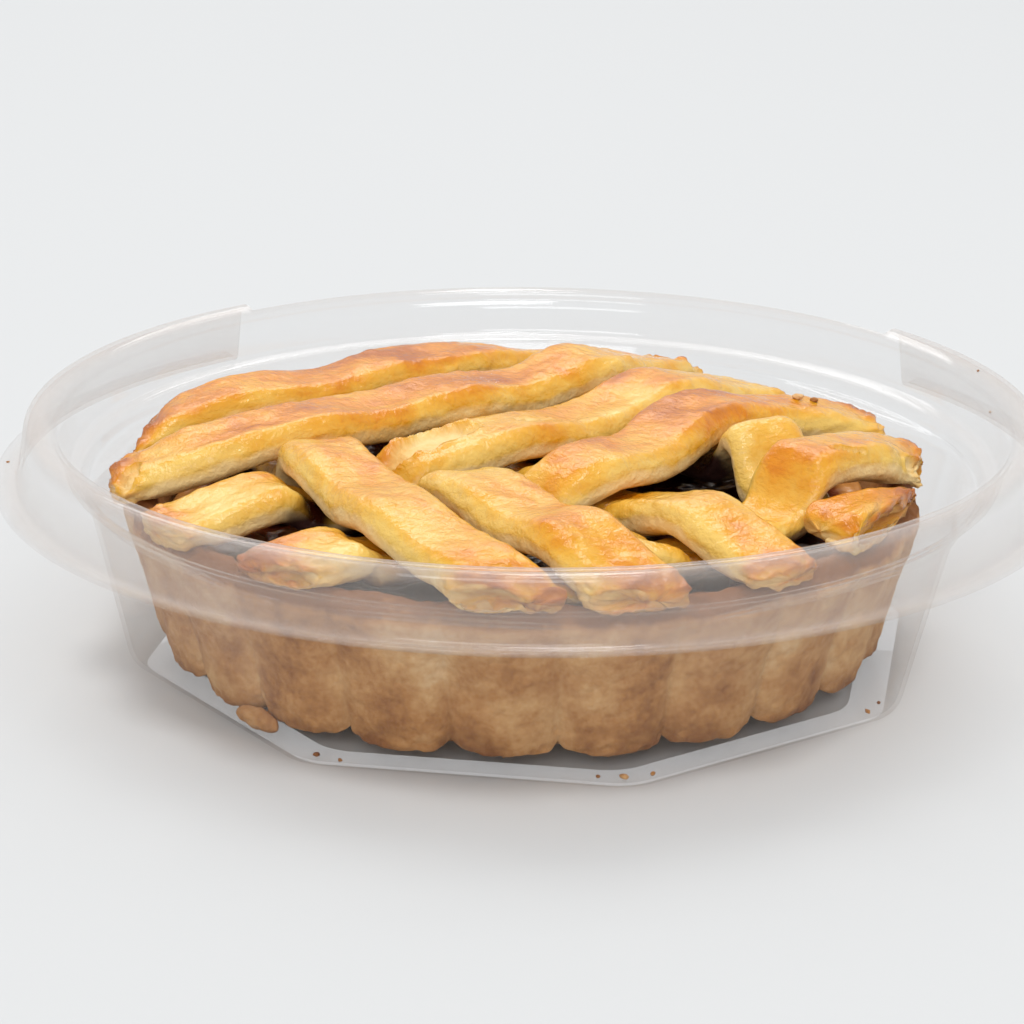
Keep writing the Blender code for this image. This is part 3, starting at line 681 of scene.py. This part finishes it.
def arc(ratio):
    # the section's round: ratio is 0 in its middle and 1 at its side
    return np.sqrt(1 - np.clip(np.abs(ratio), 0, 1) ** (2 / lattice["side"]))


def sectionTop(ratio):
    return lattice["belly"] + (1 - lattice["belly"]) * arc(ratio) ** lattice["topBlunt"]


def sectionKeel(ratio):
    return lattice["belly"] * (1 - arc(ratio) ** lattice["keelBlunt"])


def underside(strip, places):
    # height of a placed strip's underside over each place, far up where it has none
    line = strip["path"]
    start, run = line[:-1], np.diff(line, axis=0)
    away = places[:, None, :] - start[None, :, :]
    share = np.clip((away * run).sum(2) / (run ** 2).sum(1), 0, 1)
    gap = np.linalg.norm(away - share[..., None] * run, axis=2)
    nearest = gap.argmin(1)
    rows = np.arange(len(places))
    share = share[rows, nearest]
    ratio = gap[rows, nearest] / strip["half"]
    keel = strip["keel"][nearest] * (1 - share) + strip["keel"][nearest + 1] * share
    thick = strip["thick"][nearest] * (1 - share) + strip["thick"][nearest + 1] * share
    return np.where(ratio < 1.06, keel + thick * sectionKeel(ratio), 1.0)


def support(places):
    # height of the filling and the crust's rim that carry the strips
    radius = np.linalg.norm(places - pieCenter, axis=1)
    drop = lattice["rimFall"] / mm * np.clip(radius - lattice["rimTop"], 0, None) ** 2
    rise = np.clip((radius - lattice["rimInner"] + 2 * mm) / (2 * mm), 0, 1)
    low = lattice["sag"] - lattice["gap"]
    return low + rise * (lattice["rimZ"] + lattice["rimGap"] - drop - low)


def pressUnder(crest, limit, along):
    # the crest line lowered under its limits, with slopes no steeper than dough bends
    apart = np.abs(along[:, None] - along[None, :])
    pressed = np.minimum(crest, (limit[None, :] + lattice["slope"] * apart).min(1))
    for _ in range(4):
        padded = np.concatenate([pressed[:1], pressed, pressed[-1:]])
        pressed = np.minimum((padded[:-2] + padded[1:-1] * 2 + padded[2:]) / 4, limit)
    return pressed


def placeStrips():
    # from the top strip down, each is pressed below those already there
    placed = []
    for number, (name, factor, dark, points) in enumerate(reversed(strips)):
        line = smoothPath(points, 1.0 * mm)
        path = toWorld(line)
        half = lattice["width"] * factor / 2
        run = np.gradient(path, axis=0)
        normal = np.column_stack([-run[:, 1], run[:, 0]]) / np.linalg.norm(run, axis=1)[:, None]
        along = np.arange(len(path)) * np.linalg.norm(run, axis=1).mean()
        limit = np.full(len(path), 1.0)
        lowest = np.zeros(len(path))
        for ratio in np.linspace(-1, 1, 13):
            places = path + normal * half * ratio
            shoulder = lattice["least"] * (1 - sectionTop(ratio))
            for strip in placed:
                limit = np.minimum(limit, underside(strip, places) - lattice["gap"] + shoulder)
            keel = lattice["least"] * sectionKeel(ratio)
            lowest = np.maximum(lowest, support(places) + lattice["gap"] - keel)
        crest = pressUnder(line[:, 2], limit, along)
        fromEnd = np.clip(np.minimum(along, along[-1] - along) / lattice["endTaper"], 0, 1)
        thick = lattice["thick"] * (lattice["endShare"] + (1 - lattice["endShare"]) * fromEnd)
        thick = np.maximum(np.minimum(thick, crest - lowest), lattice["least"])
        placed.append({
            "name": name, "dark": dark, "path": path, "along": along, "keel": crest - thick, "half": half,
            "thick": thick, "number": number})
    return placed


def ownReach(strip):
    return lattice["ownReach"].get(strip["name"], (lattice["reach"], lattice["reach"]))


def trimShift(strip, distance, sides, end):
    # the end of a strip over the rim is cut along the rim's round
    path = strip["path"]
    tip, inner = (path[0], path[1]) if end == 0 else (path[-1], path[-2])
    fromCenter = tip - pieCenter
    if np.linalg.norm(fromCenter) < lattice["trimFrom"]:
        return np.zeros((len(distance), len(sides), 2))
    heading = (tip - inner) / np.linalg.norm(tip - inner)
    right = np.array([heading[1], -heading[0]]) * (1 if end else -1)
    corner = fromCenter[None, :] + right[None, :] * sides[:, None]
    along = corner @ heading
    run = np.sqrt(along ** 2 + ownReach(strip)[end] ** 2 - (corner ** 2).sum(1)) - along
    fade = np.clip(1 - distance / lattice["trimRun"], 0, 1)
    return fade[:, None, None] * run[None, :, None] * heading


pastry = {
    # from pale dough to deep brown, seen on the egg-washed skin and on the bare sides
    "skin": ((0.16, "#DEB75C"), (0.34, "#DCA73C"), (0.5, "#D89722"), (0.66, "#D0800C"), (0.9, "#AC5C07")),
    "dough": ((0.25, "#E3C68C"), (0.5, "#DAAF68"), (0.75, "#C58B42"), (1.0, "#935521")),
    # dark colour of syrup soaked into low places, also used as painted shade in the hollows under and between
    # strips
    "stainAndShade": "#2B0B04",
    "skinRough": 0.1,
    "doughRough": 0.72,
    # how far the middle of a strip's top sinks and its shoulders rise
    "sunk": 0.4 * mm,
    "shoulder": 0.3 * mm,
    # widths in the colour: skin wrinkles, darker patches and grains of dough
    "wrinkle": 1.0 * mm,
    "patch": 7.69 * mm,
    "sand": 0.77 * mm,
    # heights of the relief: broad swells, ridged wrinkles, blisters, pores and the crags of a cut end
    "swell": 0.6 * mm,
    "ridge": 0.17 * mm,
    "fine": 0.04 * mm,
    "blister": 0.5 * mm,
    "pore": 0.4 * mm,
    "crag": 1.1 * mm,
    # widths of the same, and of the broad patches and streaks of browning
    "wide": {
        "swell": 8 * mm, "ridge": 4.2 * mm, "fine": 1.1 * mm, "blister": 3.3 * mm, "pore": 0.95 * mm,
        "crag": 2.6 * mm, "broad": 15 * mm, "streak": 5.5 * mm,
    },
    # how much browner or paler each of these makes the dough
    "browning": {
        "high": 0.08, "crest": 0.1, "broad": 0.22, "swell": 0.1, "streak": 0.26, "cutEnd": 0.34,
        "back": 0.07, "torn": 0.2,
    },
}


def eggWashedPastry():
    # shortcrust strips brushed with egg: golden glossy wrinkled skin on top, pale sandy dough at the sides
    material, tree, output = newMaterial("pastryEggWashed")
    place = addNode(tree, "TexCoord").outputs["Object"]
    lay = addNode(tree, "Attribute", attribute_name="lay").outputs["Vector"]
    wash = addNode(tree, "Attribute", attribute_name="wash").outputs["Fac"]
    bake = addNode(tree, "Attribute", attribute_name="bake").outputs["Fac"]
    patches = addNode(tree, "TexNoise", {
        "Vector": lay, "Scale": 1 / pastry["patch"], "Detail": 5, "Roughness": 0.62, "Distortion": 0.5,
    }).outputs["Fac"]
    sand = addNode(tree, "TexNoise", {
        "Vector": place, "Scale": 1 / pastry["sand"], "Detail": 3, "Roughness": 0.7}).outputs["Fac"]
    creased = addNode(tree, "Mapping", {"Vector": lay, "Scale": (1.0, 0.7, 1.0)}).outputs[0]
    skinWaves = addNode(tree, "TexNoise", {
        "Vector": creased, "Scale": 1 / pastry["wrinkle"], "Detail": 3, "Roughness": 0.55, "Distortion": 0.4,
    }).outputs["Fac"]
    mixed = addNode(tree, "Math", {0: patches, 1: 0.8, 2: bake}, operation="MULTIPLY_ADD").outputs[0]
    waved = addNode(tree, "Math", {0: skinWaves, 1: 0.2, 2: mixed}, operation="MULTIPLY_ADD").outputs[0]
    skin = addNode(tree, "ValToRGB", {"Fac": waved}, pastry["skin"]).outputs["Color"]
    sandy = addNode(tree, "Math", {0: sand, 1: 0.35, 2: mixed}, operation="MULTIPLY_ADD").outputs[0]
    dough = addNode(tree, "ValToRGB", {"Fac": sandy}, pastry["dough"]).outputs["Color"]
    tone = addNode(tree, "Mix", {0: wash, 6: dough, 7: skin}, data_type="RGBA").outputs[2]
    # darkening of low places: syrup stain together with painted shade under and between strips
    stainAndShade = addNode(tree, "Attribute", attribute_name="stainAndShade").outputs["Fac"]
    tone = addNode(tree, "Mix", {
        0: stainAndShade, 6: tone, 7: linearColor(pastry["stainAndShade"])}, data_type="RGBA").outputs[2]
    rough = addNode(tree, "MapRange", {
        "Value": wash, "To Min": pastry["doughRough"], "To Max": pastry["skinRough"]}).outputs["Result"]
    rough = addNode(tree, "Math", {0: sand, 1: 0.12, 2: rough}, operation="MULTIPLY_ADD").outputs[0]
    grains = addNode(tree, "Bump", {"Height": sand, "Strength": 0.25, "Distance": 0.0004}).outputs[0]
    folds = addNode(tree, "Bump", {
        "Height": skinWaves, "Strength": 0.32, "Distance": 0.0009, "Normal": grains}).outputs[0]
    shader = addNode(tree, "BsdfPrincipled", {
        "Base Color": tone, "Roughness": rough, "IOR": 1.5, "Specular IOR Level": 0.42, "Normal": folds,
    })
    tree.links.new(shader.outputs[0], output.inputs["Surface"])
    return material


# places where the baked skin of a strip broke open: strip, x and y of the middle, half length and half width
# in mm, turn in degrees, depth in mm
tears = (
    ("strip_long_3", -15.6, -5.2, 8.2, 3.4, 38, 1.2),
    ("strip_long_5", 46.0, -11.6, 3.2, 0.7, 20, 0.9),
    ("strip_long_5", 57.2, -3.8, 2.2, 1.2, 50, 0.8),
    ("strip_long_2", -59.5, -12.0, 3.0, 1.6, 75, 0.9),
    ("strip_long_3", 0.5, 3.5, 3.4, 0.8, 30, 0.5),
    ("strip_long_4", 44.0, 11.0, 4.2, 1.3, 38, 0.7),
)


def tearSkin(name, points):
    # how torn each point is, and how far the edge of the tear curls up
    torn, lift = np.zeros(len(points)), np.zeros(len(points))
    for owner, x, y, long, wide, turn, depth in tears:
        if owner != name:
            continue
        cos, sin = math.cos(math.radians(turn)), math.sin(math.radians(turn))
        dx, dy = points[:, 0] - x * mm, points[:, 1] - y * mm
        along, across = (dx * cos + dy * sin) / (long * mm), (dy * cos - dx * sin) / (wide * mm)
        ragged = 0.4 * layeredLumps(points, 3.2 * mm, 61, 2)
        reach = np.hypot(along, across) + ragged
        inside = 1 - smoothStep(0.92, 1.02, reach)
        curl = np.exp(-((reach - 1.1) / 0.1) ** 2)
        torn = np.maximum(torn, inside)
        lift += -depth * mm * inside + 0.35 * depth * mm * curl
    return torn, lift


# low places by the open gaps, darkened partly as syrup that boiled up to them and partly as painted shade in
# the hollows: x, y, z and reach in mm
stainAndShadeSpots = (
    (25.6, 4.9, 28.0, 7.0), (1.8, 4.1, 27.5, 4.5), (-23.0, 15.1, 27.5, 4.0), (-33.9, -21.1, 27.0, 6.5),
)


def syrupStainAndShade(points):
    # 0 is clean dough, 1 is darkest and soaked; only low places away from the rim are darkened, partly as
    # syrup stain and partly as painted shade under and between the strips
    stainAndShade = 0.9 * smoothStep(27.6 * mm, 25.2 * mm, points[:, 2] + 0.6 * mm * lumps(points, 3 * mm, 71))
    for x, y, z, reach in stainAndShadeSpots:
        away = np.linalg.norm(points - np.array([x, y, z]) * mm, axis=1) / (reach * mm)
        near = 1 - smoothStep(0.6, 1.0, away + 0.12 * lumps(points, 3 * mm, 72))
        stainAndShade = np.maximum(stainAndShade, near * smoothStep(32.2 * mm, 30.2 * mm, points[:, 2]))
    return stainAndShade * smoothStep(53 * mm, 49 * mm, np.linalg.norm(points[:, :2] - pieCenter, axis=1))


def cutAlongRim(strip, points, rightEnd, tip, crag):
    # a cut end stops at the rim with a ragged edge
    fromCenter = points[:, :2] - pieCenter
    away = np.linalg.norm(fromCenter, axis=1)
    left, right = ownReach(strip)
    limit = np.where(rightEnd, right, left) - lattice["endBlunt"] + lattice["endRagged"] * crag
    kept = np.where((tip > 0) & (away > limit), limit + 0.2 * (away - limit), away)
    return pieCenter + fromCenter * (kept / away)[:, None]


def plainStrip(strip):
    # the strip before its relief: rows of points, and for each row its place along, keel and thickness
    length = strip["along"][-1]
    nose = lattice["nose"]
    inner = np.arange(nose, length - nose, lattice["step"])
    ends = nose * (1 - np.cos(np.linspace(0.04, math.pi / 2, 8)))
    along = np.concatenate([ends, inner[1:-1], length - ends[::-1]])
    toEnd = np.minimum(along, length - along)
    scale = np.sqrt(1 - np.clip(1 - toEnd / nose, 0, 1) ** 2) ** 0.55
    path = np.column_stack([np.interp(along, strip["along"], strip["path"][:, i]) for i in range(2)])
    keel = np.interp(along, strip["along"], strip["keel"])
    thick = np.interp(along, strip["along"], strip["thick"])
    run = np.gradient(path, axis=0)
    run /= np.linalg.norm(run, axis=1)[:, None]
    right = np.column_stack([run[:, 1], -run[:, 0]])
    turns = 2 * math.pi * (np.arange(lattice["ring"]) + 0.5) / lattice["ring"]
    cos, sin = np.cos(turns), np.sin(turns)
    sides = np.sign(cos) * np.abs(cos) ** lattice["side"] * strip["half"]
    middle = lattice["belly"]
    up = middle + (1 - middle) * np.abs(sin) ** lattice["topBlunt"]
    down = middle * (1 - np.abs(sin) ** lattice["keelBlunt"])
    level = middle + (np.where(sin > 0, up, down)[None, :] - middle) * scale[:, None]
    wide = sides[None, :] * scale[:, None]
    xy = path[:, None, :] + right[:, None, :] * wide[..., None]
    xy = xy + trimShift(strip, along, sides, 0) + trimShift(strip, length - along, sides, 1)
    grid = np.dstack([xy, keel[:, None] + thick[:, None] * level])
    facing = -cos * np.sign(run[len(run) // 2, 0] + 1e-9)  # 1 on the side away from the camera
    return grid, along, keel, thick, sides, facing


def buildStrip(strip, material):
    grid, along, keel, thick, sides, facing = plainStrip(strip)
    around = len(sides)
    length = strip["along"][-1]
    normals = gridNormals(grid)
    if normals[len(along) // 2, around // 4, 2] < 0:
        normals = -normals
    flat, n = grid.reshape(-1, 3), normals.reshape(-1, 3)
    seed = strip["number"] * 5 + 1
    size = pastry["wide"]
    # own coordinates: along, across and height, for relief that follows the strip
    own = np.column_stack([np.repeat(along, around), np.tile(sides, len(along)), flat[:, 2]]) + seed * 0.05
    wrinkle = 1 - 2.2 * np.abs(layeredLumps(own / np.array([1.8, 1, 1]), size["ridge"], seed, 3))
    swell = lumps(own / np.array([1.5, 1.1, 1]), size["swell"], seed + 1)
    broad = lumps(own / np.array([1.8, 1.6, 1]), size["broad"], seed + 12)
    fine = layeredLumps(flat, size["fine"], seed + 2, 2)
    blister = np.clip(0.5 - cells(flat, size["blister"], seed + 3), 0, 1)
    pores = np.clip(0.42 - cells(flat, size["pore"], seed + 4), 0, 1)
    # 1 on the egg-washed top, 0 on the bare sides
    topness = smoothStep(-0.02, 0.3, n[:, 2] + 0.24 * layeredLumps(own, 3.2 * mm, seed + 6, 3))
    tip = np.repeat(smoothStep(10 * mm, 1 * mm, np.minimum(along, length - along)), around)
    rimEnd = tip * smoothStep(54 * mm, 60 * mm, np.linalg.norm(flat[:, :2] - pieCenter, axis=1))
    crag = layeredLumps(flat * np.array([1, 1, 2.6]), size["crag"], seed + 7, 3)
    relief = pastry["swell"] * swell + pastry["ridge"] * wrinkle + pastry["fine"] * fine
    relief += topness * pastry["blister"] * blister - (1 - topness) * pastry["pore"] * pores
    relief += rimEnd * pastry["crag"] * crag
    ratio = np.tile(np.abs(sides), len(along)) / strip["half"]
    press = topness * (1 - rimEnd) * (0.8 + 0.5 * broad)
    relief += press * pastry["shoulder"] * np.exp(-((ratio - 0.7) / 0.17) ** 2)
    relief -= press * pastry["sunk"] * np.exp(-(ratio / 0.42) ** 2) + 0.35 * mm
    torn, lift = tearSkin(strip["name"], flat)
    relief += lift * smoothStep(0.0, 0.5, n[:, 2])
    moved = flat + n * relief[:, None]
    moved[:, :2] = cutAlongRim(strip, moved, np.repeat(along > length / 2, around), tip, crag)
    # browner where it is high in the oven, on the crest and at the cut ends, and darker on the side away from
    # the camera
    crest = (flat[:, 2] - np.repeat(keel + 0.8 * thick, around)) / (0.2 * np.repeat(thick, around))
    high = (flat[:, 2] - 34.5 * mm) / (2.5 * mm)
    back = np.tile(facing, len(along))
    streak = layeredLumps(own / np.array([2.6, 1, 1]), size["streak"], seed + 8, 3)
    brown = pastry["browning"]
    bake = strip["dark"] - 0.1 + brown["high"] * np.clip(high, -1, 1)
    bake += brown["crest"] * np.clip(crest, -1, 1)
    bake += brown["broad"] * broad + brown["swell"] * swell + brown["streak"] * streak * topness
    bake += brown["cutEnd"] * rimEnd * (1 + crag)
    bake += brown["back"] * np.clip(back, -1, 1) - brown["torn"] * torn
    wash = topness * (1 - 0.9 * torn)
    # syrup stain together with painted shade in the low places and hollows
    stainAndShade = syrupStainAndShade(flat)
    points, faces = closedRows(moved, len(along), around)
    fields = {
        "wash": np.append(wash, [0.2, 0.2]), "bake": np.append(bake, [0.3, 0.3]),
        "stainAndShade": np.append(stainAndShade, [0, 0]), "lay": np.vstack([own, own[:2]]),
    }
    name = strip["name"].replace("strip_long_", "longStrip").replace("strip_cross_", "crossStrip")
    item = meshObject(name, points, faces, material, fields)
    faceOut(item)
    putOn(item, "glazed_pastry", strip["name"])
    return item


# loose scrap of crust

scrap = {
    "size": (8.6 * mm, 2.0 * mm, 3.3 * mm),
    "rough": 0.55 * mm,
    # where it lies: distance from the tub's axis, turn around it and height of the tub's floor there
    "radius": 56.9 * mm,
    "turn": math.radians(-43.5),
    "floor": 0.95 * mm,
}


def buildScrap(material):
    form = bmesh.new()
    bmesh.ops.create_icosphere(form, subdivisions=5, radius=0.5)
    points = np.array([v.co for v in form.verts])
    lengthwise, sideways, upright = scrap["size"]
    shaped = points * np.array([lengthwise, sideways, upright])
    relief = scrap["rough"] * layeredLumps(shaped, 2.4 * mm, 77, 3)
    shaped = shaped + points * 2 * relief[:, None]
    shaped[:, 2] = np.maximum(shaped[:, 2], -upright / 2)
    cos, sin = math.cos(scrap["turn"]), math.sin(scrap["turn"])
    away = scrap["radius"]
    center = Vector((away * sin, tub["axisY"] - away * cos, scrap["floor"] + upright / 2))
    for vert, (a, b, c) in zip(form.verts, shaped):
        vert.co = center + Vector((a * cos + b * sin, a * sin - b * cos, c))
    mesh = bpy.data.meshes.new("crustScrap")
    form.to_mesh(mesh)
    form.free()
    layer = mesh.attributes.new("bake", "FLOAT", "POINT")
    layer.data.foreach_set("value", np.full(len(mesh.vertices), 0.2, np.float32))
    mesh.materials.append(material)
    mesh.shade_smooth()
    item = bpy.data.objects.new("crustScrap", mesh)
    bpy.context.scene.collection.objects.link(item)
    faceOut(item)
    putOn(item, "baked_crust", "crust_scrap")
    return item


# crumbs

# pale and brown bits that fell from the crust: x, y, the height they fall from, and width, all in mm
crumbs = (
    (41.5, 22.3, 45, 1.6), (44.2, 23.3, 45, 1.3), (73.6, 34.4, 45, 0.6), (70.0, 25.9, 45, 0.5),
    (-79.7, 3.2, 45, 0.5), (12.6, -52.6, 3, 1.2), (9.0, -52.3, 3, 0.8), (16.6, -51.2, 3, 0.9),
    (-30.4, -45.4, 3, 1.0), (-27.0, -47.2, 3, 0.7), (48.8, -27.3, 3, 0.9), (50.8, -23.8, 3, 0.7),
)


def buildCrumbs(material):
    points, faces, bake = [], [], []
    form = bmesh.new()
    bmesh.ops.create_icosphere(form, subdivisions=3, radius=0.5)
    ball = np.array([v.co for v in form.verts])
    corners = [[v.index for v in face.verts] for face in form.faces]
    form.free()
    below = bpy.context.evaluated_depsgraph_get()
    for number, (x, y, fall, width) in enumerate(crumbs):
        start, down = Vector((x, y, fall)) * mm, Vector((0, 0, -1))
        landed, spot = bpy.context.scene.ray_cast(below, start, down)[:2]
        z = spot.z / mm + 0.22 * width if landed else 0.3
        shape = ball * (1 + 0.6 * layeredLumps(ball + number, 0.55, 5, 2))[:, None]
        shape = shape * np.array([1.0, 0.75, 0.6])
        turn = number * 2.4
        turned = np.column_stack([
            shape[:, 0] * math.cos(turn) - shape[:, 1] * math.sin(turn),
            shape[:, 0] * math.sin(turn) + shape[:, 1] * math.cos(turn), shape[:, 2]])
        first = len(ball) * number
        points.append(turned * width * mm + np.array([x, y, z]) * mm)
        faces += [[first + i for i in face] for face in corners]
        bake.append(np.full(len(ball), 0.1 + 0.25 * ((number * 0.618) % 1)))
    item = meshObject("crustCrumbs", np.vstack(points), faces, material, {"bake": np.concatenate(bake)})
    putOn(item, "baked_crust")
    return item


# studio

studio = {
    "floor": "#C6C7C7",
    "sky": "#F5F6F8",
    "skyStrength": 0.84,
    # the photo's angles in degrees, the camera's place from the tub's axis, and its focal length in pixels
    "elevation": 18.45,
    "yaw": -0.1,
    "roll": -0.54,
    "place": (-4.0 * mm, -478.3 * mm, 179.9 * mm),
    "focalPixels": 3300,
    "photoPixels": 1024,
    "sensor": 36,
    "floorHalf": 8,
    # name, place, size, watts
    "panels": (
        ("backPanel", (-0.2, 1.3, 1.4), (1.4, 0.7), 13.0),
        ("topPanel", (0.1, -0.1, 1.2), (0.35, 0.35), 4.8),
        ("frontPanel", (-0.3, -2.2, 1.3), (1.8, 1.0), 21.5),
    ),
}


def matteFloor():
    # painted studio sweep: matte pale grey
    material, tree, output = newMaterial("studioSweepPainted")
    shader = addNode(tree, "BsdfPrincipled", {
        "Base Color": linearColor(studio["floor"]), "Roughness": 0.9, "Specular IOR Level": 0.1,
    })
    tree.links.new(shader.outputs[0], output.inputs["Surface"])
    return material


def buildStudio():
    scene = bpy.context.scene
    half = studio["floorHalf"]
    points = [(-half, -half, 0), (half, -half, 0), (half, half, 0), (-half, half, 0)]
    floor = meshObject("floor", points, [(0, 1, 2, 3)], matteFloor())
    world = bpy.data.worlds.new("studioWorld")
    world.use_nodes = True
    sky = world.node_tree.nodes["Background"]
    sky.inputs["Color"].default_value = linearColor(studio["sky"])
    sky.inputs["Strength"].default_value = studio["skyStrength"]
    scene.world = world
    for name, place, size, power in studio["panels"]:
        light = bpy.data.objects.new(name, bpy.data.lights.new(name, "AREA"))
        light.data.shape = "RECTANGLE"
        light.data.size, light.data.size_y = size
        light.data.energy = power
        light.location = place
        light.rotation_euler = (Vector((0, 0, 0.02)) - Vector(place)).to_track_quat("-Z", "Y").to_euler()
        scene.collection.objects.link(light)
    scene.view_settings.view_transform = "Standard"
    scene.cycles.max_bounces = 8
    scene.cycles.transparent_max_bounces = 32
    scene.cycles.caustics_reflective = False


def buildCamera():
    camera = bpy.data.objects.new("camera", bpy.data.cameras.new("camera"))
    bpy.context.scene.collection.objects.link(camera)
    camera.data.sensor_width = studio["sensor"]
    camera.data.lens = studio["focalPixels"] / studio["photoPixels"] * studio["sensor"]
    camera.data.clip_start = 0.01
    pitch, yaw, roll = (math.radians(a) for a in (studio["elevation"], studio["yaw"], studio["roll"]))
    turn = Matrix.Rotation(yaw, 3, "Z")
    right = turn @ Vector((1, 0, 0))
    ahead = turn @ Vector((0, math.cos(pitch), -math.sin(pitch)))
    down = turn @ Vector((0, -math.sin(pitch), -math.cos(pitch)))
    sideways = math.cos(roll) * right + math.sin(roll) * down
    below = -math.sin(roll) * right + math.cos(roll) * down
    place = Matrix((sideways, -below, -ahead)).transposed().to_4x4()
    x, y, z = studio["place"]
    place.translation = Vector((x, y + tub["axisY"], z))
    camera.matrix_world = place
    bpy.context.scene.camera = camera


# everything in order

buildTub()
print("tub done")
crustMaterial = bakedCrust()
buildCrust(crustMaterial)
print("crust done")
buildFilling(cookedApple())
print("filling done")
pastryMaterial = eggWashedPastry()
for strip in placeStrips():
    buildStrip(strip, pastryMaterial)
print("lattice done")
buildScrap(crustMaterial)
buildCrumbs(crustMaterial)
print("crumbs done")
buildStudio()
buildCamera()
print("studio done")
